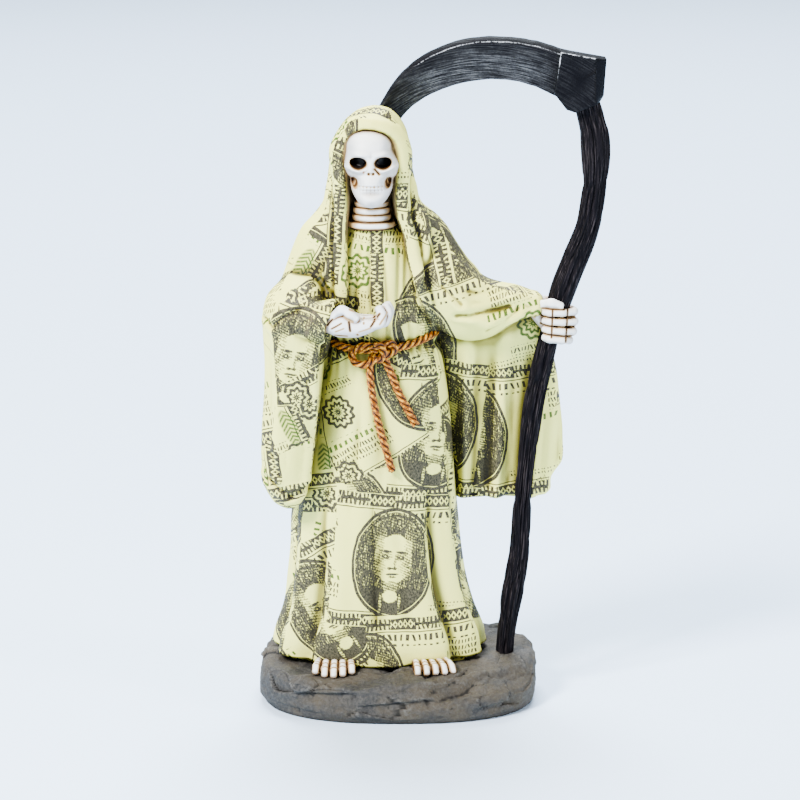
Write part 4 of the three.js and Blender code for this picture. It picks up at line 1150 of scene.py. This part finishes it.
def makeClothMaterial():
    # printed paint: a tone from the notes' shapes, broken up by hatching, over pale paper
    wires = newMaterial("robePaint", 0.5, 0.12)
    chart = wires.vector("MULTIPLY", wires.put("ShaderNodeUVMap", {}, uv_map="print"), (100, 100, 100))
    wobble = wires.noise(chart, 0.09, 2, 0.5, 1)
    laid = wires.vector("MULTIPLY_ADD", wobble, (1.8, 1.8, 0), chart)
    # torn pieces everywhere, each with its own turn and part of a note
    torn = {"Vector": laid, "Scale": 1 / note["tornSize"], "Randomness": 0.9}
    cells = wires.put("ShaderNodeTexVoronoi", torn, voronoi_dimensions="2D").node
    edge = wires.put("ShaderNodeTexVoronoi", torn, voronoi_dimensions="2D", feature="DISTANCE_TO_EDGE")
    first, second, third = wires.put("ShaderNodeSeparateColor", {0: cells.outputs["Color"]}).node.outputs[:3]
    centre = wires.vector("MULTIPLY", cells.outputs["Position"], (1, 1, 0))
    local = wires.vector("SUBTRACT", laid, centre)
    turned = wires.put("ShaderNodeVectorRotate", {"Vector": local, "Angle": wires.times(first, 6.283)},
                       rotation_type="Z_AXIS")
    shift = wires.join(wires.scaled(second, 70.0, -35.0), wires.scaled(third, 24.0, -12.0))
    where = wires.vector("ADD", turned, shift)
    seam = wires.under(wires.times(edge, float(note["tornSize"])), 0.22)
    for x, z, turn, u0, v0, hx, hy in frontNotes:
        angle = math.radians(turn)
        originX = x - u0 * math.cos(angle) + v0 * math.sin(angle)
        originZ = z - u0 * math.sin(angle) - v0 * math.cos(angle)
        own = wires.put("ShaderNodeMapping", {"Vector": laid, "Location": (originX + 0.9, originZ + 0.9, 0),
                                              "Rotation": (0, 0, angle)}, vector_type="TEXTURE")
        covers = wires.boxed(own, u0, v0, hx, hy)
        where = wires.place(covers, where, own)
        seam = wires.times(seam, wires.minus(1.0, covers))
    u, v, _ = wires.split(where)
    # printed frame
    fromEnd = wires.minus(note["halfLength"], wires.size(u))
    fromSide = wires.minus(note["halfHeight"], wires.size(v))
    inset = wires.maths("MINIMUM", fromEnd, fromSide)
    alongSide = wires.under(fromSide, fromEnd)
    along = wires.blend(alongSide, v, u)
    band = wires.within(inset, 3.4, 2.2)
    bead = wires.maths("PINGPONG", along, 1.9)
    link = wires.join(wires.scaled(bead, 1.25, -1.2), wires.scaled(inset, 0.8, -2.72))
    across, up, _ = wires.split(wires.vector("ABSOLUTE", link))
    diamond = wires.within(wires.plus(across, up), 0.95, 0.34)
    dashes = strokeRow(wires, along, wires.plus(inset, 0.3), 1.5, 3.7, 5.0)
    group = wires.maths("GREATER_THAN", wires.sine(wires.scaled(along, 0.33, 1.0)), 0.15)
    pattern = wires.blend(group, dashes, diamond)
    tone = wires.times(band, wires.scaled(pattern, -0.72, 0.93))
    tone = wires.larger(tone, wires.within(inset, 6.4, 0.2))
    # corner rosettes
    knot, knotInside = rosette(wires, wires.join(fromEnd, fromSide), 9, 7.4, 5.6, 8)
    tone = wires.blend(knotInside, tone, wires.scaled(knot, 0.7, 0.2))
    # rows of dashes where a note has words
    small = strokeRow(wires, u, v, 1.15, 2.2, 3.0)
    tone = wires.larger(tone, wires.times(small, anyBox(wires, where, note["smallRows"])))
    large = strokeRow(wires, u, wires.plus(v, 1.55), 2.1, 4.1, 8.0)
    inLarge = anyBox(wires, where, note["largeRows"])
    tone = wires.larger(tone, wires.times(wires.times(large, 0.95), inLarge))
    # a pen flourish: a wavering line
    waver = wires.put("ShaderNodeTexNoise", {"W": wires.times(u, 0.55), "Scale": 1.0, "Detail": 2.0},
                      noise_dimensions="1D")
    pen = wires.within(v, wires.scaled(waver, 7.0, -22.6), 0.24)
    tone = wires.larger(tone, wires.times(pen, wires.boxed(where, 22, -19, 15, 3.4)))
    # round grey seal
    x, y, radius = note["greySeal"]
    seal, sealInside = rosette(wires, where, x, y, radius, 12)
    tone = wires.blend(sealInside, tone, seal)
    # the oval with its bust
    px, py = note["portraitAt"]
    w, h = note["portraitSize"]
    oval = wires.disc(where, px, py, w, h)
    across, up = wires.minus(u, px), wires.minus(v, py)
    bust, mirrored = wires.join(across, up), wires.join(wires.size(across), up)
    face = wires.range(up, -16.0, 16.0, 0.86, 0.72)
    for x, y, halfWidth, halfHeight, soft, depth, both in note["bust"]:
        shape = wires.filled(wires.disc(mirrored if both else bust, x, y, halfWidth, halfHeight), soft)
        face = wires.blend(shape, face, depth)
    strand = wires.noise(wires.vector("MULTIPLY", mirrored, (2.4, 0.32, 1)), 1.0, 2, 0.6)
    hair = wires.times(wires.range(face, 0.6, 0.78), wires.range(up, -11.0, -8.0))
    face = wires.scaled(wires.times(hair, wires.range(strand, 0.5, 0.64)), -0.42, face)
    face = wires.larger(face, wires.within(oval, 0.93, 0.018))
    tone = wires.blend(wires.under(oval, 1.0), tone, face)
    tone = wires.larger(tone, wires.within(oval, 1.05, 0.035))
    # engraving: fine bent lines and grain break the tone up
    grain = wires.noise(wires.vector("MULTIPLY", where, (1.7, 1.0, 1)), 1.1, 3, 0.65)
    lines = wires.sine(wires.scaled(u, 2.2, wires.scaled(v, 6.5, wires.times(grain, 9.0))))
    hatch = wires.scaled(lines, 0.22, wires.scaled(grain, 1.7, -0.5))
    ink = wires.scaled(wires.scaled(hatch, -0.66, tone), 3.0, 0.0, clamp=True)
    ink = wires.times(ink, wires.range(tone, 0.03, 0.22))
    ink = wires.larger(ink, wires.times(seam, 0.5))
    # green dashes, green seal and leaf
    green = wires.times(large, anyBox(wires, where, note["greenRows"]))
    x, y, radius = note["greenSeal"]
    greenSeal, _ = rosette(wires, where, x, y, radius, 10)
    green = wires.larger(green, greenSeal)
    x, y, w, h = note["leaf"]
    leaf = wires.filled(wires.disc(where, x, y, w, h), 0.2)
    veins = wires.maths("PINGPONG", wires.scaled(wires.size(wires.minus(u, x)), 0.8, v), 0.8)
    leaf = wires.times(leaf, wires.range(veins, 0.15, 0.7, 1.0, 0.35))
    green = wires.larger(green, leaf)
    green = wires.times(green, wires.range(grain, 0.25, 0.6, 0.75, 1.0))
    # paper and ink, then painted shade: in the folds, where other surfaces stand near, inside the hood and cuff and
    # in fine creases
    cloud = wires.noise(chart, 0.05, 3, 0.5)
    paper = wires.paint(cloud, (0.82, 0.79, 0.15), (0.92, 0.9, 0.25))
    paper = wires.paint(wires.range(wires.noise(chart, 1.6, 2, 0.6), 0.6, 0.8, 0.0, 0.3), paper, (0.42, 0.42, 0.17))
    inkColour = wires.paint(wires.range(grain, 0.3, 0.7), (0.013, 0.012, 0.006), (0.088, 0.079, 0.045))
    colour = wires.paint(ink, paper, inkColour)
    greenColour = wires.paint(wires.range(grain, 0.3, 0.7), (0.008, 0.035, 0.003), (0.05, 0.12, 0.01))
    colour = wires.paint(green, colour, greenColour)
    # painted shade: darker in the broad folds
    fold = wires.range("broadHollow", -0.1, 0.7, 0.0, 0.95)
    colour = wires.paint(fold, colour, (0.3, 0.28, 0.16), "MULTIPLY")
    # painted shade where other surfaces stand near
    near = wires.openness(0.011)
    colour = wires.paint(wires.range(near, 0.9, 0.3, 0.0, 0.85), colour, (0.3, 0.26, 0.1), "MULTIPLY")
    # painted shade: brown on the inside of the hood, beside the neck and inside the cuff
    colour = wires.paint(wires.stored("innerWall"), colour, (0.46, 0.32, 0.13))
    # painted shade in fine creases
    creaseShade = wires.range("fineHollow", 0.02, 0.2, 0.0, 0.8)
    colour = wires.paint(creaseShade, colour, (0.16, 0.12, 0.04), "MULTIPLY")
    rough = wires.scaled(ink, 0.1, wires.scaled(cloud, 0.16, 0.42))
    return wires.finish(colour, rough, wires.noise(chart, 0.5, 3, 0.55), 0.25, 0.0006)


def makeBoneMaterial():
    # ivory paint with painted shade in the hollows and where surfaces crowd, a brown wash with painted shade in the
    # fine hollows, and dark touches, partly painted shade, near-black in the sockets
    wires = newMaterial("bonePaint", 0.3, 0.16)
    where = wires.inPlace()
    mottle = wires.noise(where, 0.6, 3, 0.6)
    colour = wires.paint(mottle, (0.86, 0.85, 0.8), (0.97, 0.97, 0.94))
    # painted shade: grey in the broad hollows and where the surface turns down or to the side
    soft = wires.range("broadHollow", -0.09, 0.12, 0.0, 0.62)
    colour = wires.paint(soft, colour, (0.4, 0.37, 0.34))
    shade = wires.times(wires.stored("shade"), wires.range(mottle, 0.2, 0.6, 0.75, 1.0))
    colour = wires.paint(wires.times(shade, 0.8), colour, (0.36, 0.34, 0.33))
    # painted shade where other surfaces stand near: amber, then near-black
    near = wires.openness(0.006)
    colour = wires.paint(wires.range(near, 0.9, 0.45, 0.0, 0.9), colour, (0.33, 0.2, 0.1))
    colour = wires.paint(wires.range(near, 0.5, 0.12), colour, (0.05, 0.02, 0.008))
    # brown wash and painted shade in the fine hollows, near-black in the deepest
    washAndShade = wires.plus(wires.stored("fineHollow"), wires.times(mottle, 0.04))
    colour = wires.paint(wires.range(washAndShade, 0.035, 0.11), colour, (0.24, 0.11, 0.035))
    colour = wires.paint(wires.range(washAndShade, 0.1, 0.22), colour, (0.035, 0.014, 0.005))
    # dark touches: painted lines, and painted shade in the sockets, hollows and gaps: amber, dark brown, near-black
    stainedAndShaded = wires.plus(wires.stored("stainAndShade"), wires.scaled(mottle, 0.2, -0.1))
    colour = wires.paint(wires.range(stainedAndShaded, 0.05, 0.3), colour, (0.5, 0.31, 0.13))
    colour = wires.paint(wires.range(stainedAndShaded, 0.28, 0.62), colour, (0.07, 0.03, 0.01))
    colour = wires.paint(wires.range(stainedAndShaded, 0.6, 0.92), colour, (0.004, 0.003, 0.003))
    rough = wires.scaled(mottle, 0.2, 0.22)
    return wires.finish(colour, rough, wires.noise(where, 1.4, 3, 0.6), 0.2, 0.0003)


def makeRopeMaterial():
    # copper paint, with painted highlights on the strands and painted shade, dark brown, between them
    wires = newMaterial("ropePaint", 0.3, 0.22)
    where = wires.inPlace()
    mottle = wires.noise(where, 1.1, 3, 0.6)
    colour = wires.paint(wires.range(mottle, 0.35, 0.65), (0.13, 0.03, 0.0), (0.46, 0.13, 0.001))
    # painted shade between the strands
    deep = wires.range("cord", 0.7, 0.97)
    colour = wires.paint(deep, (0.012, 0.003, 0.001), colour)
    # painted highlight on the strands' crowns
    glint = wires.range("cord", 0.94, 1.0, 0.0, 0.85)
    colour = wires.paint(wires.times(glint, wires.range(mottle, 0.45, 0.6)), colour, (0.95, 0.46, 0.02))
    rough = wires.scaled(mottle, 0.25, 0.24)
    return wires.finish(colour, rough, wires.noise(where, 2.6, 2, 0.6), 0.3, 0.0003)


def makeWoodMaterial():
    # near-black wood: long streaks, brown where the ridges are rubbed
    wires = newMaterial("handlePaint", 0.42, 0.03)
    where = wires.inPlace()
    long = wires.noise(wires.vector("MULTIPLY", where, (1.2, 1.2, 0.09)), 1.0, 4, 0.6)
    colour = wires.paint(wires.range(long, 0.35, 0.7), (0.0018, 0.0016, 0.0024), (0.0065, 0.0052, 0.0066))
    ridge = wires.range("fineHollow", -0.02, -0.14)
    colour = wires.paint(wires.times(ridge, wires.range(long, 0.45, 0.65, 0.1, 0.7)), colour, (0.056, 0.045, 0.046))
    # painted shade in the grooves
    groove = wires.range("fineHollow", 0.02, 0.16)
    colour = wires.paint(wires.times(groove, 0.8), colour, (0.002, 0.002, 0.002))
    rough = wires.scaled(long, 0.3, 0.34)
    return wires.finish(colour, rough, long, 0.6, 0.0006)


def makeIronMaterial():
    # black paint dry-brushed with silver along the blade, with painted highlights and rubbed wear on the edges
    wires = newMaterial("bladePaint", 0.5, 0.03)
    along = wires.put("ShaderNodeUVMap", {}, uv_map="along")
    brush = wires.noise(wires.vector("MULTIPLY", along, (5, 150, 0)), 1.0, 5, 0.74)
    streak = wires.range(brush, 0.4, 0.76)
    cloud = wires.noise(wires.inPlace(), 0.14, 3, 0.6)
    speck = wires.noise(wires.inPlace(), 1.5, 2, 0.6)
    amount = wires.times(streak, wires.range(cloud, 0.3, 0.6, 0.4, 1.0))
    amount = wires.times(amount, wires.stored("silver"))
    amount = wires.times(amount, wires.range(speck, 0.3, 0.6, 0.55, 1.0))
    colour = wires.paint(amount, (0.002, 0.002, 0.003), (0.122, 0.124, 0.13))
    # painted highlight with rubbed wear on the edges
    highlightAndWear = wires.times(wires.stored("edge"), wires.range(speck, 0.3, 0.55, 0.3, 1.0))
    colour = wires.paint(wires.range(highlightAndWear, 0.2, 0.8), colour, (0.5, 0.52, 0.56))
    rough = wires.scaled(brush, 0.3, 0.38)
    return wires.finish(colour, rough, brush, 0.35, 0.0005)


def makeStoneMaterial():
    # grey paint with brown patches and pale dust on the ridges, with painted shade in the cracks and hollows and
    # where other surfaces stand near
    wires = newMaterial("rockPaint", 0.8, 0.2)
    where = wires.inPlace()
    patch = wires.noise(where, 0.06, 4, 0.6)
    colour = wires.paint(wires.range(patch, 0.4, 0.6), (0.026, 0.0255, 0.0255), (0.05, 0.04, 0.027))
    speck = wires.noise(where, 0.9, 4, 0.7)
    colour = wires.paint(wires.range(speck, 0.35, 0.75, 0.0, 0.6), colour, (0.08, 0.075, 0.066))
    dust = wires.range("fineHollow", -0.03, -0.24, 0.0, 0.4)
    dust = wires.times(dust, wires.range(speck, 0.38, 0.62))
    colour = wires.paint(dust, colour, (0.13, 0.125, 0.115))
    # painted shade in the cracks and hollows
    crack = wires.range("fineHollow", 0.03, 0.25, 0.0, 0.9)
    colour = wires.paint(crack, colour, (0.006, 0.0055, 0.005))
    # painted shade where other surfaces stand near
    near = wires.openness(0.007)
    colour = wires.paint(wires.range(near, 0.6, 0.15, 0.0, 0.9), colour, (0.006, 0.0055, 0.005))
    rough = wires.scaled(speck, 0.25, 0.62)
    height = wires.plus(speck, wires.noise(where, 0.3, 4, 0.6))
    return wires.finish(colour, rough, height, 0.6, 0.0012)


def markStainsAndShade(piece):
    # dark touches, the darkest at each place, painted lines and painted shade in the recesses and gaps: 1 in the
    # sockets, less in the hollows, nostrils, mouth, neck grooves, finger lines and toe gaps
    x, y, z = readCoords(piece).T
    row, teeth = ease(5.8, 4.2, np.abs(x - skull["middle"])), toothGaps(x) ** 4
    marks = [0.72 * bump(stretch(x, z, *skull["crack"]), 0, 0.42),
             row * (0.08 + 0.3 * teeth) * bump(z, skull["mouthHeight"], 0.3),
             row * 0.12 * teeth * bump(z, skull["mouthHeight"] - 1.0, 0.9),
             0.62 * bump(np.hypot(x + 8.3, z - 186.2), 0, 0.32)]
    for cheek in skull["cheeks"]:
        depth = 0.62 + 0.3 * ease(-0.5, 0.8, (z - cheek[1]) / skull["cheekHalf"][1])
        marks.append(depth * ease(1.25, 0.6, ovalOff(x, z, cheek, skull["cheekHalf"])))
    nx, nz = skull["nose"]
    marks += [0.95 * bump(np.hypot(x - nx - k, z - nz), 0, 0.46) for k in skull["nostrils"]]
    sockets = [1 - 1.1 * ease(0.78, 1.26, ovalOff(x, z, eye, skull["eyeHalf"])) for eye in skull["eyes"]]
    face = np.maximum(np.max(marks, 0) * ease(-11, -13, y), np.max(sockets, 0) * ease(-4, -7, y))
    across = np.abs(x - neck["middle"][0])
    inNeck = (z < 180.2) & (z > 169) & (np.hypot(across, y - neck["middle"][1]) < 8.6)
    # painted shade in the neck's grooves, at its sides, at its foot and under the jaw
    groove = sum(0.5 * bump(z, g, 0.34) + 0.13 * bump(z, g, 0.95) for g in neck["grooves"])
    groove = groove + 0.22 * ease(4.2, 6.8, across) + 0.7 * ease(171, 170.2, z) + 0.55 * ease(178.6, 179.3, z)
    outward = ease(0.1, -0.25, readNormals(piece)[:, 1]) * (z > 120)
    marks = [np.where(inNeck, groove, face)]
    marks += [tone * 0.95 * bump(stretch(x, z, start, end), 0, 1.25 * width) * outward
              for start, end, width, tone in hands["strokes"]]
    # painted shade where the hand goes into the cuff
    marks.append(0.7 * ease(-24.3, -25.0, x - 0.1 * (z - 140)) * (y < -19) * (z > 120))
    for foot in (feet["left"], feet["right"]):
        # painted shade in the gaps between the toes
        for index in range(-1, 5):
            root, tip = toeEnds(foot, index + 0.5)
            gap = np.abs(x - root - (tip - root) * np.clip((-14.4 - y) / 10, 0, 1))
            marks.append(0.78 * bump(gap, 0, 0.56) * (z < 20))
        # painted lines across the toes at their joints
        for index, size in enumerate(foot[2]):
            own = (np.abs(x - foot[0] - (index - 2) * 2.7) < 1.5) * (z < 20)
            marks += [0.55 * bump(y, -18.4 - share * (size + 1.4), 0.26) * own for share in (0.42, 0.74)]
    keepValues(piece, "stainAndShade", np.max(marks, 0))
    # painted shade: soft grey where the surface turns down or to the side
    nx, _, nz = readNormals(piece).T
    keepValues(piece, "shade", np.clip(0.9 * ease(0.05, -0.75, nz) + 0.8 * ease(0.4, 0.95, np.abs(nx)), 0, 1))


def mapBlade(piece):
    # brush map round a point under the arch: x the angle, y the distance / 60 mm
    x, _, z = readCoords(piece).T
    places = np.stack([np.arctan2(z - 170, x - 30), np.hypot(z - 170, x - 30) / 60], -1)
    keepMap(piece, "along", places[readArray(piece.data.loops, "vertex_index", 1, np.int32)])


def markShadedInside(piece):
    # 1 where painted shade goes: on the inside of the hood, in the gap beside the neck and inside the cuff
    x, y, z = readCoords(piece).T
    inside = ease(0.1, 1.0, outlineDistance(x, z, mantle["opening"]))
    hood = inside * ease(160, 170, z) * ease(-15.5, -13, y) * (1 - ease(8, 10, y))
    up = z - sleeves["cuffMiddle"][1]
    off = np.hypot((y - sleeves["cuffMiddle"][0]) / 5.9, up / 6.8)
    back = x - cuffSlant(up)
    cuff = (1 - ease(0.9, 1.02, off)) * ease(-24.4, -25.6, back) * ease(-32, -30, back)
    keepValues(piece, "innerWall", np.maximum(hood, cuff))


for piece, fine, broad in [(tunicPiece, 6, 150), (mantlePiece, 6, 150), (skullPiece, 8, 60), (handsPiece, 14, 40),
                           (toesPiece, 14, 40), (handlePiece, 3, 20), (bladePiece, 3, 20), (rockPiece, 4, 30)]:
    markHollows(piece, fine, broad)
keepValues(tunicPiece, "innerWall", np.zeros(len(tunicPiece.data.vertices)))
markShadedInside(mantlePiece)
layPrint(tunicPiece)
layPrint(mantlePiece)
for piece in (skullPiece, handsPiece, toesPiece):
    markStainsAndShade(piece)
mapBlade(bladePiece)
keepValues(bladePiece, "edge", np.concatenate([part[1] for part in bladeParts]))
keepValues(bladePiece, "silver", np.concatenate([part[2] for part in bladeParts]))
cloth = makeClothMaterial()
bone = makeBoneMaterial()
dress(tunicPiece, cloth, "robed_skeleton")
dress(mantlePiece, cloth, "robed_skeleton")
dress(skullPiece, bone, "robed_skeleton")
dress(handsPiece, bone, "robed_skeleton")
dress(toesPiece, bone, "robed_skeleton")
dress(ropePiece, makeRopeMaterial(), "robed_skeleton")
dress(handlePiece, makeWoodMaterial(), "scythe")
dress(bladePiece, makeIronMaterial(), "scythe")
dress(rockPiece, makeStoneMaterial(), "rock_base")
print("materials done")

# floor, soft light and pale surroundings
stage = {"half": 12.0, "world": 0.42, "floor": (0.62, 0.77, 0.97)}
lights = [  # name, place, size, power, spread in degrees
    ("key", (-0.75, -0.75, 1.0), 0.35, 72, 180), ("fill", (1.2, -0.5, 0.5), 0.3, 18, 180),
    ("backdrop", (0.0, 1.7, 2.8), 2.0, 330, 150)]


def makeStage():
    # a pale floor, area lights aimed at the figure's middle and an even pale world
    mesh = bpy.data.meshes.new("floor")
    h = stage["half"]
    mesh.from_pydata([(-h, -h, -0.0002), (h, -h, -0.0002), (h, h, -0.0002), (-h, h, -0.0002)], [], [(0, 1, 2, 3)])
    floor = bpy.data.objects.new("floor", mesh)
    bpy.context.scene.collection.objects.link(floor)
    paint = newMaterial("floorPaint", 0.7)
    paint.shader.inputs["Base Color"].default_value = (*stage["floor"], 1)
    mesh.materials.append(paint.material)
    for name, place, size, power, spread in lights:
        light = bpy.data.objects.new(name, bpy.data.lights.new(name, "AREA"))
        light.data.size = size
        light.data.energy = power
        light.data.spread = math.radians(spread)
        light.data.color = (0.84, 0.92, 1.0) if name == "backdrop" else (1.0, 0.99, 0.97)
        light.location = place
        aim = np.array((0, 0, 0.12)) - np.array(place)
        flat = math.hypot(aim[0], aim[1])
        light.rotation_euler = (math.atan2(flat, -aim[2]), 0, math.atan2(aim[1], aim[0]) - math.pi / 2)
        bpy.context.scene.collection.objects.link(light)
    world = bpy.data.worlds.new("studio")
    world.use_nodes = True
    world.node_tree.nodes["Background"].inputs["Color"].default_value = (0.8, 0.89, 1.0, 1)
    world.node_tree.nodes["Background"].inputs["Strength"].default_value = stage["world"]
    bpy.context.scene.world = world


makeStage()
print("stage done")
